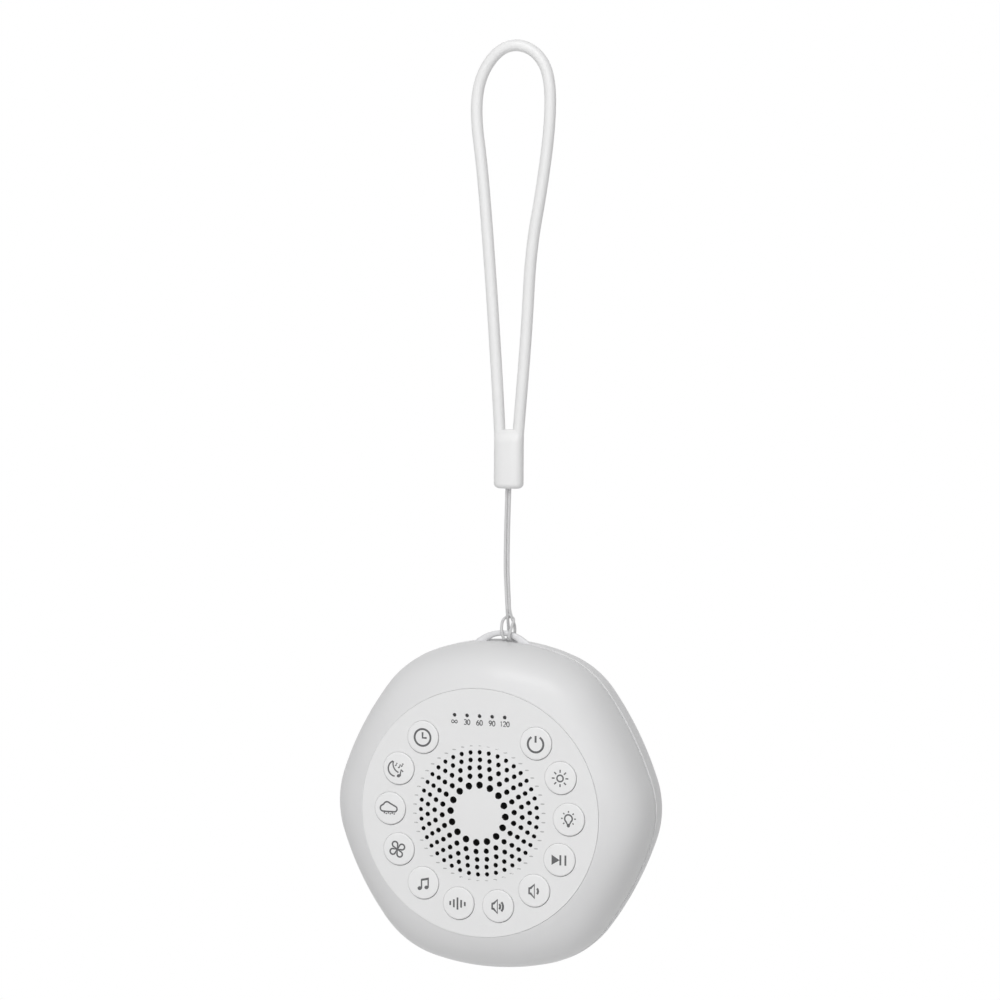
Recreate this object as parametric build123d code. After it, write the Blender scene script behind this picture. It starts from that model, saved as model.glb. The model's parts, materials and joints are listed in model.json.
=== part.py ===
"""Portable white noise sound machine hanging on a silicone wrist lanyard.

Millimetres, +X right, +Y back, +Z up. The origin is the inside top of the lanyard loop, where a
finger, wrist or hook holds the machine, so everything hangs below it. The case is laid out in its
own frame (centre of the speaker grille, depth counted back from the foremost point) and moved into
place when it is written.
"""

from build123d import *
import math
import os

# ---- case outline: a rounded hexagon of tangent arcs, corners at 3 and 9 o'clock ----
CORNER_R = 27.0  # radius of all six corners
SIDE_REACH = 47.2  # centre to the corners at 3 and 9 o'clock
DIAGONAL_REACH = 48.2  # centre to the other four corners
CROWN_SIDE_R = 55.6  # radius of the top and bottom sides
SLANT_SIDE_R = 95.0  # radius of the four slanted sides

# ---- depths, counted back from the foremost point of the grille ----
LIP_DEPTH = 1.4  # crest of the front shell's lip
PARTING_DEPTH = 18.5  # plane where the two shells meet
REAR_DEPTH = 15.0  # rear shell, parting plane to flat back
FRONT_ROLL = 9.8  # how far the front rolls in from the outline to the lip
REAR_ROLL = 8.0  # how far the rear rolls in from the outline to the flat back
FRONT_BANDS = 5  # conical bands in the front roll
REAR_BANDS = 3  # conical bands in the rear roll
CORE_BANDS = 2  # flat-faceted bands inside each roll
TURN_CHORDS = 3  # chords round each corner inside the shells
SIDE_CHORDS = 4  # chords per side inside the shells
WALL = 2.2
PARTING_GAP = 0.15  # shadow line between the shells, half in each

# ---- face plate ----
PLATE_R = 35.5
PLATE_T = 1.6
PLATE_PROUD = 0.2  # plate face in front of the lip crest
PLATE_FIT = 0.12  # gap round the plate's rim
LEDGE_W = 2.1  # width of the ledge that the plate is glued to
LEDGE_SIDES = 32
LEDGE_T = 1.5

# ---- speaker grille: rings of round holes in a low dome ----
GRILLE_R = 19.5
GRILLE_RISE = 1.2  # dome height at the centre
DOME_SIDES = 16
GRILLE_RINGS = (  # ring radius, number of holes, hole diameter, turn of the ring in degrees
    (8.26, 16, 1.8, 3.0),
    (10.88, 22, 1.3, 3.0),
    (13.2, 28, 1.25, 1.3),
    (15.4, 34, 1.2, 1.3),
    (17.5, 40, 1.05, 0.5),
)
HOLE_SIDES = 6  # sides of the fine holes
PIN_SIDES = 8  # sides of pillars, pins and screw bores

# ---- buttons ----
BUTTON_NAMES = (  # anticlockwise from the upper left
    "button_timer",
    "button_lullaby",
    "button_rain",
    "button_fan",
    "button_music",
    "button_noise",
    "button_volume_up",
    "button_volume_down",
    "button_play_pause",
    "button_lamp",
    "button_brightness",
    "button_power",
)
BUTTON_GAP_ANGLE = 78.3  # left free at the top for the timer lights
BUTTON_R = 4.65
BUTTON_SIDES = 20
BUTTON_FIT = 0.2  # running gap round each cap
BUTTON_PROUD = 0.45
BUTTON_TRAVEL = 0.4
BUTTON_SLACK = 0.05  # cap flange to plate at rest
FLANGE_LAP = 0.75  # flange beyond the plate's hole
FLANGE_ROOM = 0.95  # flange to the plate's ledge
FLANGE_T = 0.7
FLANGE_SIDES = 6
STEM_W = 2.4

# ---- timer lights ----
LIGHT_COUNT = 5
LIGHT_PITCH = 3.76
LIGHT_ROW = 27.5  # height of the row above the grille centre
LIGHT_HOLE_R = 0.45
LIGHT_FIT = 0.05
GUIDE_BAR = (19.0, 2.6, 1.6)  # width, depth and height of the light guide's bar
LIGHT_CHIP = (1.6, 0.8, 0.8)

# ---- circuit board and switches ----
BOARD_DEPTH = 6.9  # front face of the board
BOARD_T = 1.6
BOARD_ROOM = 2.0  # board's edge to the nearest wall
BOARD_HOLE_R = 19.0
BOARD_FIT = 0.4  # round the screw pillars
SWITCH = (4.5, 1.3, 4.5)  # width, height off the board, length
POST_INSET = 1.8  # board's edge in to the posts
POST_R = 1.7
STAKE_R = 0.9  # post tips melted over the board
STAKE_H = 0.8
STAKE_FIT = 0.1
NIGHT_LIGHTS = 8
NIGHT_LIGHT_INSET = 2.6  # board's edge in to the lights
NIGHT_LIGHT = (3.5, 0.9, 2.8)

# ---- speaker ----
SPEAKER_R = 19.4
SPEAKER_SIDES = 24
SPEAKER_FLANGE_W = 3.0
SPEAKER_FLANGE_T = 1.1
SPEAKER_DEPTH = 9.4  # flange face to the back of the basket
BASKET_BACK_R = 10.6
BASKET_WALL = 0.9
CONE_REST = 0.35  # cone rim behind the flange face
CONE_T = 0.35
SURROUND_W = 1.6
DUST_CAP_R = 4.6
CONE_DROP = 4.2
MAGNET_R = 11.0
MAGNET_T = 5.0
CLOTH_T = 0.3
LUG = (2.6, 3.2, 1.2)  # width, depth and thickness of the speaker's locating lugs
LUG_FIT = 0.1

# ---- battery and charging board ----
BATTERY = (50.0, 6.8, 34.0)
PAD = (40.0, 0.8, 24.0)
BATTERY_LIFT = 3.0  # battery centre above the case centre
CHARGE_BOARD = (17.0, 1.0, 13.0)
CHARGE_RIB = (1.6, 9.0)  # thickness and height of the ribs under the charging board
CHARGE_RIB_SPACING = 12.0
SOCKET = (8.9, 3.2, 7.6)
SOCKET_CORNER = 1.4
SOCKET_FIT = 0.2
SOCKET_SET_BACK = 0.5  # socket mouth inside the case's lowest point there
SOCKET_BEHIND_PARTING = 7.6
SOCKET_OVERHANG = 5.0  # socket's mouth in front of the charging board's edge
SOCKET_MOUTH = (7.4, 1.6, 5.8)  # width, height and depth of the plug space

# ---- screws that hold the shells together ----
SCREW_INSET = 2.6  # board's edge in to the screws
SCREW_ANGLES = (45, 135, 225, 315)
PILLAR_R = 2.4
TUBE_R = 3.2
SCREW_HEAD_R = 1.8
SCREW_HEAD_T = 1.4
SCREW_RECESS_R = 1.95
SCREW_RECESS_DEPTH = 6.5
SCREW_SHANK_R = 0.75
SCREW_FIT = 0.25  # clearance hole round the shank in the rear tubes
SCREW_GRIP = 7.0  # thread in the front pillars
PILOT_EXTRA = 1.0

# ---- lanyard eyelet, trapped between the shells ----
EYELET_X = 0.5
EYELET_BEHIND_PARTING = 0.5
EYELET_HALF = 7.85  # half of its width where it enters the crown
EYELET_TOP = 2.8  # outside of the arch above the crown
EYELET_SINK = 0.6  # ends of the arch below the top of the crown
OPENING_HALF = 4.6  # half of the opening's width at the same level
OPENING_TOP = 1.25
EYELET_T = 1.4  # front to back
EYELET_EDGE = 0.4  # broken edges
EYELET_CHORDS = 8  # chords in each arc of the arch
EYELET_FIT = 0.1
EYELET_PAD = (5.4, 3.2, 1.3)  # width, depth and drop below the wall, in each shell
EYELET_FOOT = (4.4, 2.6, 1.3)
STRING_SCOOP_R = 2.8  # hollow under the bar that leaves room for the string

# ---- lanyard ----
LOOP_D = 3.3
LOOP_SIDES = 6
CASE_X = -3.7  # case centre, from the loop's top
CASE_HANG = 215.1  # grille centre below the inside top of the loop
BARREL_X = -1.6
BARREL_TOP = -107.3
BARREL_LENGTH = 16.8
BARREL_W = 8.6
BARREL_T = 5.4
BARREL_FLARE = 0.5
BARREL_FLARE_H = 3.0
BARREL_ROUND = 1.1
BARREL_END_CHORDS = 5  # chords in each rounded side of the barrel
STRING_D = 0.75
STRING_SIDES = 5
STRING_BOW = -0.7  # both strands sway this way between barrel and hitch
STRING_BOW_POINT = 1  # the point of the route where they do
LOOP_ROUTE = (  # x, z of the silicone cord's route, barrel to barrel over the top
    (-4.5, -112.3),
    (-4.8, -100.1),
    (-6.4, -77.0),
    (-8.2, -54.0),
    (-10.1, -33.0),
    (-12.3, -17.6),
    (-11.0, -7.4),
    (-5.9, 0.0),
    (0.1, 2.0),
    (6.1, -0.4),
    (9.9, -6.7),
    (10.3, -19.2),
    (8.0, -37.7),
    (4.6, -56.3),
    (3.6, -77.8),
    (1.9, -99.9),
    (1.2, -112.3),
)
STRING_ROUTE = (  # x, y, z from the bar's centre: one half, from the barrel to the middle of the hitch
    (0.42, 0.0, 44.5),
    (0.42, 0.0, 22.0),
    (0.39, 0.43, 5.67),
    (1.3, -1.75, 1.76),
    (0.8, -1.8, -1.75),
    (0.6, 1.72, -1.78),
    (1.5, 1.75, 1.61),
    (1.8, -1.28, 4.73),
)

# ---- places worked out from the sizes above ----
PLATE_FACE = LIP_DEPTH - PLATE_PROUD
PLATE_BACK = PLATE_FACE + PLATE_T
LEDGE_BACK = PLATE_BACK + LEDGE_T
LEDGE_INNER_R = PLATE_R - LEDGE_W
FLANGE_R = BUTTON_R + BUTTON_FIT + FLANGE_LAP
BUTTON_CIRCLE_R = LEDGE_INNER_R - FLANGE_ROOM - FLANGE_R
BACK_DEPTH = PARTING_DEPTH + REAR_DEPTH
BACK_INSIDE = BACK_DEPTH - WALL
BOARD_BACK = BOARD_DEPTH + BOARD_T
SPEAKER_FACE = PLATE_BACK + CLOTH_T
SPEAKER_BACK = SPEAKER_FACE + SPEAKER_DEPTH
EYELET_DEPTH = PARTING_DEPTH + EYELET_BEHIND_PARTING
SCREW_SEAT = BACK_DEPTH - SCREW_RECESS_DEPTH
BUTTON_STEP = (360.0 - BUTTON_GAP_ANGLE) / (len(BUTTON_NAMES) - 1)
CORNER_ANGLE = 60.0  # from one corner of the outline to the next
OVERLAP = 0.5  # how far joined features run into each other
BEYOND = 5.0  # how far cutting tools run past what they cut


# ---------------------------------------------------------------- helpers
def facing(depth):
    """Plane across the case at a depth: local x right, local y up."""
    return Plane(origin=(0, depth, 0), x_dir=(1, 0, 0), z_dir=(0, -1, 0))


def prism(face, front, back):
    """A flat shape carried from one depth to another."""
    return extrude(facing(front) * face, amount=front - back)


def disc(radius, front, back):
    return prism(Circle(radius), front, back)


def peg(radius, sides, front, back, x=0.0, z=0.0, turn=0.0):
    """Small round part or bore, drawn with a few flat sides."""
    return prism(Pos(x, z) * Rot(0, 0, turn) * RegularPolygon(radius, sides), front, back)


def block(width, height, front, back, x=0.0, z=0.0):
    return prism(Pos(x, z) * Rectangle(width, height), front, back)


def at_angle(radius, degrees):
    """Point on a circle about the case's centre, anticlockwise from 3 o'clock seen from the front."""
    angle = math.radians(degrees)
    return radius * math.cos(angle), radius * math.sin(angle)


def facets(rings):
    """Solid of flat facets through closed rings of points, capped at the first and last ring."""
    faces = [make_face(Polyline(*ring, close=True)) for ring in (rings[0], rings[-1])]
    for near, far in zip(rings, rings[1:]):
        count = len(near)
        for index in range(count):
            following = (index + 1) % count
            corners = (near[index], near[following], far[following], far[index])
            faces.append(make_face(Polyline(*corners, close=True)))
    return Solid(Shell(faces))


def round_ring(radius, depth, sides):
    """Corners of a regular polygon across the case at a depth."""
    ring = []
    for index in range(sides):
        x, z = at_angle(radius, index * 360.0 / sides)
        ring.append((x, depth, z))
    return ring


def turned_facets(profile, sides):
    """Faceted solid of revolution from (radius, depth) points, front to back."""
    return facets([round_ring(radius, depth, sides) for radius, depth in profile])


def moved_to_case(solid):
    """From the case's own frame to the frame of the whole machine."""
    return Pos(CASE_X, -EYELET_DEPTH, -CASE_HANG) * solid


def write(name, shape):
    export_step(shape, f"parts/{name}.step")


# ---------------------------------------------------------------- case outline
def corner_reach(corner):
    return SIDE_REACH if corner % 3 == 0 else DIAGONAL_REACH


def corner_centre(corner):
    return Vector(*at_angle(corner_reach(corner) - CORNER_R, CORNER_ANGLE * corner))


def side_arc(corner, inset):
    """Start, middle and end of the side that follows a corner, moved in from the outline."""
    first = corner_centre(corner)
    second = corner_centre(corner + 1)
    radius = CROWN_SIDE_R if corner % 3 == 1 else SLANT_SIDE_R
    outward = Vector(*at_angle(1.0, CORNER_ANGLE * (corner + 0.5)))
    middle = (first + second) / 2
    chord = (second - first).normalized()
    normal = Vector(chord.Y, -chord.X)
    if normal.dot(outward) < 0:
        normal = -normal
    half = (second - first).length / 2
    centre = middle - normal * math.sqrt((radius - CORNER_R) ** 2 - half**2)
    reach = radius - inset
    return (
        centre + (first - centre).normalized() * reach,
        centre + normal * reach,
        centre + (second - centre).normalized() * reach,
    )


def outline_edges(inset=0.0):
    """The closed outline as twelve tangent arcs, starting with the side above 3 o'clock."""
    sides = [side_arc(corner, inset) for corner in range(6)]
    edges = []
    for corner, side in enumerate(sides):
        following = (corner + 1) % 6
        tip = corner_centre(following)
        tip += Vector(*at_angle(CORNER_R - inset, CORNER_ANGLE * following))
        edges.append(ThreePointArc(*side))
        edges.append(ThreePointArc(side[2], tip, sides[following][0]))
    return edges


def outline(inset=0.0):
    return make_face(outline_edges(inset))


def crown_height(inset=0.0):
    """Height of the middle of the top side above the case's centre."""
    return side_arc(1, inset)[1].Y


def outline_ring(inset, depth):
    """Points along the moved-in outline at a depth, joined by chords."""
    ring = []
    for index, edge in enumerate(outline_edges(inset)):
        chords = TURN_CHORDS if index % 2 else SIDE_CHORDS
        for step in range(chords):
            point = edge @ (step / chords)
            ring.append((point.X, depth, point.Y))
    return ring


def swept_round_outline(profile):
    """Carry a profile round the outline. Profile x is outward, y is depth behind the parting."""
    path = Wire([facing(PARTING_DEPTH) * edge for edge in outline_edges()])
    start = path @ 0
    along = path % 0
    outward = Vector(0, 1, 0).cross(along)
    if outward.dot(Vector(start.X, 0, start.Z)) < 0:
        outward = -outward
    plane = Plane(origin=start, x_dir=outward, z_dir=outward.cross(Vector(0, 1, 0)))
    return sweep(plane * profile, path=path)


def quarter_ellipse(width, height, bands):
    """Points from the end of the height axis (first) to the end of the width axis (last)."""
    angles = [math.radians(90.0 * band / bands) for band in range(bands + 1)]
    return [(width * math.sin(angle), height * math.cos(angle)) for angle in angles]


def rolled_body(roll, depth, bands, direction):
    """Outside form of one shell, solid, from the parting plane forward (-1) or back (+1)."""
    edge = [(x - roll, direction * y) for x, y in quarter_ellipse(roll, depth, bands)]
    edge[-1] = (0.0, direction * PARTING_GAP / 2)
    root = -roll - OVERLAP
    profile = [(root, edge[0][1])] + edge + [(root, edge[-1][1])]
    body = swept_round_outline(make_face(Polyline(profile, close=True)))
    ends = sorted((PARTING_DEPTH + direction * PARTING_GAP / 2, PARTING_DEPTH + direction * depth))
    return body + prism(outline(roll), *ends)


def core(roll, depth, floor, direction):
    """Space inside one shell, open past the parting plane and flat at the floor's thickness."""
    height = depth - floor
    rings = [outline_ring(WALL, PARTING_DEPTH - direction * BEYOND)]
    for x, y in reversed(quarter_ellipse(roll - WALL, height, CORE_BANDS)):
        rings.append(outline_ring(roll - x, PARTING_DEPTH + direction * y))
    return facets(rings)


def inner_inset(depth):
    """How far the inside of the front shell lies in from the outline at a depth."""
    spots = []
    for x, y in quarter_ellipse(FRONT_ROLL - WALL, PARTING_DEPTH - LEDGE_BACK, CORE_BANDS):
        spots.append((PARTING_DEPTH - y, FRONT_ROLL - x))
    inset = WALL
    for (near, near_inset), (far, far_inset) in zip(spots, spots[1:]):
        if near <= depth <= far:
            share = (depth - near) / (far - near)
            inset = near_inset + share * (far_inset - near_inset)
    return inset


def board_radius():
    """Radius of the round board that fits inside the front shell."""
    ring = outline_ring(inner_inset(BOARD_DEPTH), BOARD_DEPTH)
    reaches = []
    for near, far in zip(ring, ring[1:] + ring[:1]):
        reaches.append(math.hypot((near[0] + far[0]) / 2, (near[2] + far[2]) / 2))
    return min(reaches) - BOARD_ROOM


# ---------------------------------------------------------------- face plate
def button_places():
    """Name and centre of every button, anticlockwise from the upper left."""
    first = 90.0 + BUTTON_GAP_ANGLE / 2
    for index, name in enumerate(BUTTON_NAMES):
        yield name, at_angle(BUTTON_CIRCLE_R, first + index * BUTTON_STEP)


def light_places():
    for index in range(LIGHT_COUNT):
        yield (index - (LIGHT_COUNT - 1) / 2) * LIGHT_PITCH, LIGHT_ROW


def grille_hole_tools():
    """One cutter per grille hole, with a hole near the top of every ring."""
    tools = []
    for radius, count, diameter, turn in GRILLE_RINGS:
        for index in range(count):
            angle = 90.0 - turn + index * 360.0 / count
            x, z = at_angle(radius, angle)
            tools.append(
                peg(diameter / 2, HOLE_SIDES, -BEYOND, PLATE_BACK + BEYOND, x, z, angle)
            )
    return tools


def dome_rise(radius):
    return GRILLE_RISE * (1.0 - (radius / GRILLE_R) ** 2)


def grille_dome(base_depth):
    """Low dome of flat facets, standing forward from a depth in two bands and a flat centre."""
    centre_r = GRILLE_RINGS[0][0] - GRILLE_RINGS[0][2] / 2 - OVERLAP
    waist_r = (GRILLE_RINGS[1][0] + GRILLE_RINGS[2][0]) / 2
    radii = (centre_r, waist_r, GRILLE_R)
    profile = [(radius, base_depth - dome_rise(radius)) for radius in radii]
    return turned_facets(profile, DOME_SIDES)


def speaker_lugs():
    width, depth, thickness = LUG
    radius = SPEAKER_R + LUG_FIT + thickness / 2
    lugs = []
    for degrees in (0, 90, 180, 270):
        lug = Rot(0, 0, degrees) * Pos(radius, 0) * Rectangle(thickness, width)
        lugs.append(prism(lug, PLATE_BACK - OVERLAP, PLATE_BACK + depth))
    return lugs


def face_plate():
    plate = disc(PLATE_R, PLATE_FACE, PLATE_BACK)
    plate += grille_dome(PLATE_FACE)
    plate -= grille_dome(PLATE_BACK)
    plate += speaker_lugs()
    tools = grille_hole_tools()
    through = (-BEYOND, PLATE_BACK + BEYOND)
    for _, (x, z) in button_places():
        tools.append(peg(BUTTON_R + BUTTON_FIT, BUTTON_SIDES, *through, x, z))
    for x, z in light_places():
        tools.append(peg(LIGHT_HOLE_R, HOLE_SIDES, *through, x, z))
    return plate.cut(*tools)


def button(x, z):
    """Cap, flange that stops it behind the plate, and the stem that presses the switch."""
    flange_front = PLATE_BACK + BUTTON_SLACK
    flange_back = flange_front + FLANGE_T
    stem_end = BOARD_DEPTH - SWITCH[1] - BUTTON_TRAVEL
    body = peg(BUTTON_R, BUTTON_SIDES, PLATE_FACE - BUTTON_PROUD, flange_front, x, z)
    body += peg(FLANGE_R, FLANGE_SIDES, flange_front, flange_back, x, z)
    return body + block(STEM_W, STEM_W, flange_back, stem_end, x, z)


def grille_cloth():
    return peg(SPEAKER_R, SPEAKER_SIDES, PLATE_BACK, SPEAKER_FACE)


# ---------------------------------------------------------------- shells
def screw_places():
    radius = board_radius() - SCREW_INSET
    return [at_angle(radius, angle) for angle in SCREW_ANGLES]


def post_places():
    radius = board_radius() - POST_INSET
    return [at_angle(radius, angle) for angle in (0, 90, 180, 270)]


def foot_top():
    return crown_height() - WALL - EYELET_PAD[2]


def arch_radius(half, top):
    """Radius of an arc that rises from the sunk ends to its top over the crown."""
    rise = top + EYELET_SINK
    return (half**2 + rise**2) / (2 * rise)


def arch_height(half, top, x):
    """Height above the crown of an arc's point at a distance from the eyelet's middle."""
    radius = arch_radius(half, top)
    return top - radius + math.sqrt(radius**2 - x**2)


def bar_height():
    """Height of the middle of the eyelet's bar where the string goes round it."""
    string_x = BARREL_X - CASE_X - EYELET_X
    outside = arch_height(EYELET_HALF, EYELET_TOP, string_x)
    opening = arch_height(OPENING_HALF, OPENING_TOP, string_x)
    return crown_height() + (outside + opening) / 2


def arch_points(half, top):
    """Points along an arc from the left end over the top to the right end."""
    radius = arch_radius(half, top)
    reach = math.degrees(math.asin(half / radius))
    points = []
    for step in range(EYELET_CHORDS + 1):
        x, z = at_angle(radius, 90.0 + reach * (1.0 - 2.0 * step / EYELET_CHORDS))
        points.append((EYELET_X + x, crown_height() + top - radius + z))
    return points


def eyelet_arch():
    """Front view of the arch and its two legs."""
    outer = arch_points(EYELET_HALF, EYELET_TOP)
    inner = arch_points(OPENING_HALF, OPENING_TOP)[::-1]
    low = foot_top() - EYELET_FOOT[2] / 2
    right_leg = [(outer[-1][0], low), (inner[0][0], low)]
    left_leg = [(inner[-1][0], low), (outer[0][0], low)]
    return make_face(Polyline(*outer, *right_leg, *inner, *left_leg, close=True))


def eyelet_leg_places():
    middle = (EYELET_HALF + OPENING_HALF) / 2
    return (EYELET_X - middle, EYELET_X + middle)


def eyelet_pads(front, back):
    """Thick spots inside a shell's crown that the eyelet's feet pull up against."""
    low = foot_top()
    high = crown_height(WALL) + OVERLAP
    pads = []
    for x in eyelet_leg_places():
        pads.append(block(EYELET_PAD[0], high - low, front, back, x, (low + high) / 2))
    return pads


def eyelet_room():
    """What the eyelet's legs and the string under its bar need cut out of the shells."""
    width = EYELET_HALF - OPENING_HALF + 2 * EYELET_FIT
    front = EYELET_DEPTH - EYELET_T / 2 - EYELET_FIT
    low = foot_top() - OVERLAP
    height = crown_height() + OVERLAP - low
    tools = []
    for x in eyelet_leg_places():
        back = front + EYELET_T + 2 * EYELET_FIT
        tools.append(block(width, height, front, back, x, low + height / 2))
    scoop = extrude(Plane.YZ * RegularPolygon(STRING_SCOOP_R, PIN_SIDES), OPENING_HALF, both=True)
    return tools + [Pos(EYELET_X, EYELET_DEPTH, bar_height()) * scoop]


def front_shell():
    parting = PARTING_DEPTH - PARTING_GAP / 2
    depth = PARTING_DEPTH - LIP_DEPTH
    shell = rolled_body(FRONT_ROLL, depth, FRONT_BANDS, -1)
    shell -= core(FRONT_ROLL, depth, LEDGE_BACK - LIP_DEPTH, -1)
    shell -= disc(PLATE_R + PLATE_FIT, -BEYOND, PLATE_BACK)
    shell -= peg(LEDGE_INNER_R, LEDGE_SIDES, 0, LEDGE_BACK + OVERLAP)
    for x, z in screw_places():
        shell += peg(PILLAR_R, PIN_SIDES, LEDGE_BACK - OVERLAP, parting, x, z)
    for x, z in post_places():
        shell += peg(POST_R, PIN_SIDES, LEDGE_BACK - OVERLAP, BOARD_DEPTH, x, z)
        shell += peg(STAKE_R, PIN_SIDES, BOARD_DEPTH, BOARD_BACK + STAKE_H, x, z)
    shell += eyelet_pads(PARTING_DEPTH - EYELET_PAD[1], parting)
    pilot_front = SCREW_SEAT - screw_length() - PILOT_EXTRA
    tools = eyelet_room()
    for x, z in screw_places():
        tools.append(peg(SCREW_SHANK_R, PIN_SIDES, pilot_front, PARTING_DEPTH, x, z))
    return shell.cut(*tools)


def rear_shell():
    parting = PARTING_DEPTH + PARTING_GAP / 2
    shell = rolled_body(REAR_ROLL, REAR_DEPTH, REAR_BANDS, 1)
    shell -= core(REAR_ROLL, REAR_DEPTH, WALL, 1)
    for x, z in screw_places():
        shell += peg(TUBE_R, PIN_SIDES, parting, BACK_INSIDE + OVERLAP, x, z)
    thickness, height = CHARGE_RIB
    rib_front = charge_board_front() + CHARGE_BOARD[1]
    for side in (-1, 1):
        rib_x = side * CHARGE_RIB_SPACING / 2
        shell += block(thickness, height, rib_front, BACK_INSIDE + OVERLAP, rib_x, charge_board_z())
    shell += eyelet_pads(parting, PARTING_DEPTH + EYELET_PAD[1])
    tools = eyelet_room()
    for x, z in screw_places():
        bore = SCREW_SHANK_R + SCREW_FIT
        tools.append(peg(bore, PIN_SIDES, PARTING_DEPTH, SCREW_SEAT, x, z))
        tools.append(peg(SCREW_RECESS_R, PIN_SIDES, SCREW_SEAT, BACK_DEPTH + BEYOND, x, z))
    tools.append(socket_body(SOCKET_FIT, BEYOND))
    return shell.cut(*tools)


def eyelet():
    """Low arch with broken edges, thicker towards its ends, with a flat foot on each leg."""
    width, depth, height = EYELET_FOOT
    body = prism(eyelet_arch(), EYELET_DEPTH - EYELET_T / 2, EYELET_DEPTH + EYELET_T / 2)
    faces = body.faces().sort_by(Axis.Y)
    body = chamfer(faces[0].edges() + faces[-1].edges(), EYELET_EDGE)
    front = EYELET_DEPTH - depth / 2
    for x in eyelet_leg_places():
        body += block(width, height, front, front + depth, x, foot_top() - height / 2)
    return body


def screw_length():
    return SCREW_SEAT - PARTING_DEPTH + SCREW_GRIP


def housing_screws():
    screws = []
    for x, z in screw_places():
        screw = peg(SCREW_HEAD_R, PIN_SIDES, SCREW_SEAT, SCREW_SEAT + SCREW_HEAD_T, x, z)
        screw += peg(SCREW_SHANK_R, PIN_SIDES, SCREW_SEAT - screw_length(), SCREW_SEAT, x, z)
        screws.append(screw)
    return Compound(screws)


# ---------------------------------------------------------------- electronics
def main_board():
    tools = [peg(BOARD_HOLE_R, SPEAKER_SIDES, 0, BACK_DEPTH)]
    for x, z in screw_places():
        tools.append(peg(PILLAR_R + BOARD_FIT, PIN_SIDES, 0, BACK_DEPTH, x, z))
    for x, z in post_places():
        tools.append(peg(STAKE_R + STAKE_FIT, PIN_SIDES, 0, BACK_DEPTH, x, z))
    return disc(board_radius(), BOARD_DEPTH, BOARD_BACK).cut(*tools)


def switches():
    width, height, length = SWITCH
    group = []
    for _, (x, z) in button_places():
        group.append(block(width, length, BOARD_DEPTH - height, BOARD_DEPTH, x, z))
    return Compound(group)


def indicator_lights():
    width, height, length = LIGHT_CHIP
    group = []
    for x, z in light_places():
        group.append(block(width, length, BOARD_DEPTH - height, BOARD_DEPTH, x, z))
    return Compound(group)


def light_guide():
    """Smoked bar behind the plate with one peg for every timer light."""
    width, depth, height = GUIDE_BAR
    guide = block(width, height, PLATE_BACK, PLATE_BACK + depth, 0.0, LIGHT_ROW)
    for x, z in light_places():
        guide += peg(
            LIGHT_HOLE_R - LIGHT_FIT, HOLE_SIDES, PLATE_FACE + LIGHT_FIT, PLATE_BACK, x, z
        )
    return guide


def night_lights():
    width, height, length = NIGHT_LIGHT
    radius = board_radius() - NIGHT_LIGHT_INSET
    group = []
    for index in range(NIGHT_LIGHTS):
        angle = (index + 0.5) * 360.0 / NIGHT_LIGHTS
        chip = Rot(0, 0, angle) * Pos(radius, 0) * Rectangle(length, width)
        group.append(prism(chip, BOARD_DEPTH - height, BOARD_DEPTH))
    return Compound(group)


def charge_board_front():
    return PARTING_DEPTH + SOCKET_BEHIND_PARTING + SOCKET[1] / 2


def socket_mouth_z():
    """Height of the socket's mouth, just inside the rolled wall at its depth."""
    slope = math.asin(SOCKET_BEHIND_PARTING / REAR_DEPTH)
    return SOCKET_SET_BACK - crown_height(REAR_ROLL * (1.0 - math.cos(slope)))


def charge_board_z():
    return socket_mouth_z() + SOCKET_OVERHANG + CHARGE_BOARD[2] / 2


def socket_section(grow=0.0):
    width = SOCKET[0] + 2 * grow
    height = SOCKET[1] + 2 * grow
    return RectangleRounded(width, height, SOCKET_CORNER + grow)


def socket_body(grow=0.0, below=0.0):
    """The socket's outside, or with growth the slot that it needs in the wall."""
    low = socket_mouth_z() - below
    length = SOCKET[2] + below
    body = extrude(socket_section(grow), amount=length)
    return Pos(0, PARTING_DEPTH + SOCKET_BEHIND_PARTING, low) * body


def usb_socket():
    width, height, depth = SOCKET_MOUTH
    mouth = Pos(0, PARTING_DEPTH + SOCKET_BEHIND_PARTING, socket_mouth_z() + depth / 2)
    return socket_body() - mouth * Box(width, height, depth)


def charge_board():
    width, thickness, height = CHARGE_BOARD
    front = charge_board_front()
    return block(width, height, front, front + thickness, 0.0, charge_board_z())


def battery():
    width, thickness, height = BATTERY
    back = BACK_INSIDE - PAD[1]
    return block(width, height, back - thickness, back, 0.0, BATTERY_LIFT)


def battery_pad():
    width, thickness, height = PAD
    return block(width, height, BACK_INSIDE - thickness, BACK_INSIDE, 0.0, BATTERY_LIFT)


# ---------------------------------------------------------------- speaker
def speaker_basket():
    """Pressed basket: flat flange, tapering wall and closed back."""
    flange_back = SPEAKER_FACE + SPEAKER_FLANGE_T
    wall_r = SPEAKER_R - SPEAKER_FLANGE_W
    outside = [
        (SPEAKER_R, SPEAKER_FACE),
        (SPEAKER_R, flange_back),
        (wall_r + BASKET_WALL, flange_back),
        (BASKET_BACK_R, SPEAKER_BACK),
    ]
    inside = [
        (wall_r, SPEAKER_FACE - OVERLAP),
        (wall_r, flange_back),
        (BASKET_BACK_R - BASKET_WALL, SPEAKER_BACK - BASKET_WALL),
    ]
    return turned_facets(outside, SPEAKER_SIDES) - turned_facets(inside, SPEAKER_SIDES)


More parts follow.
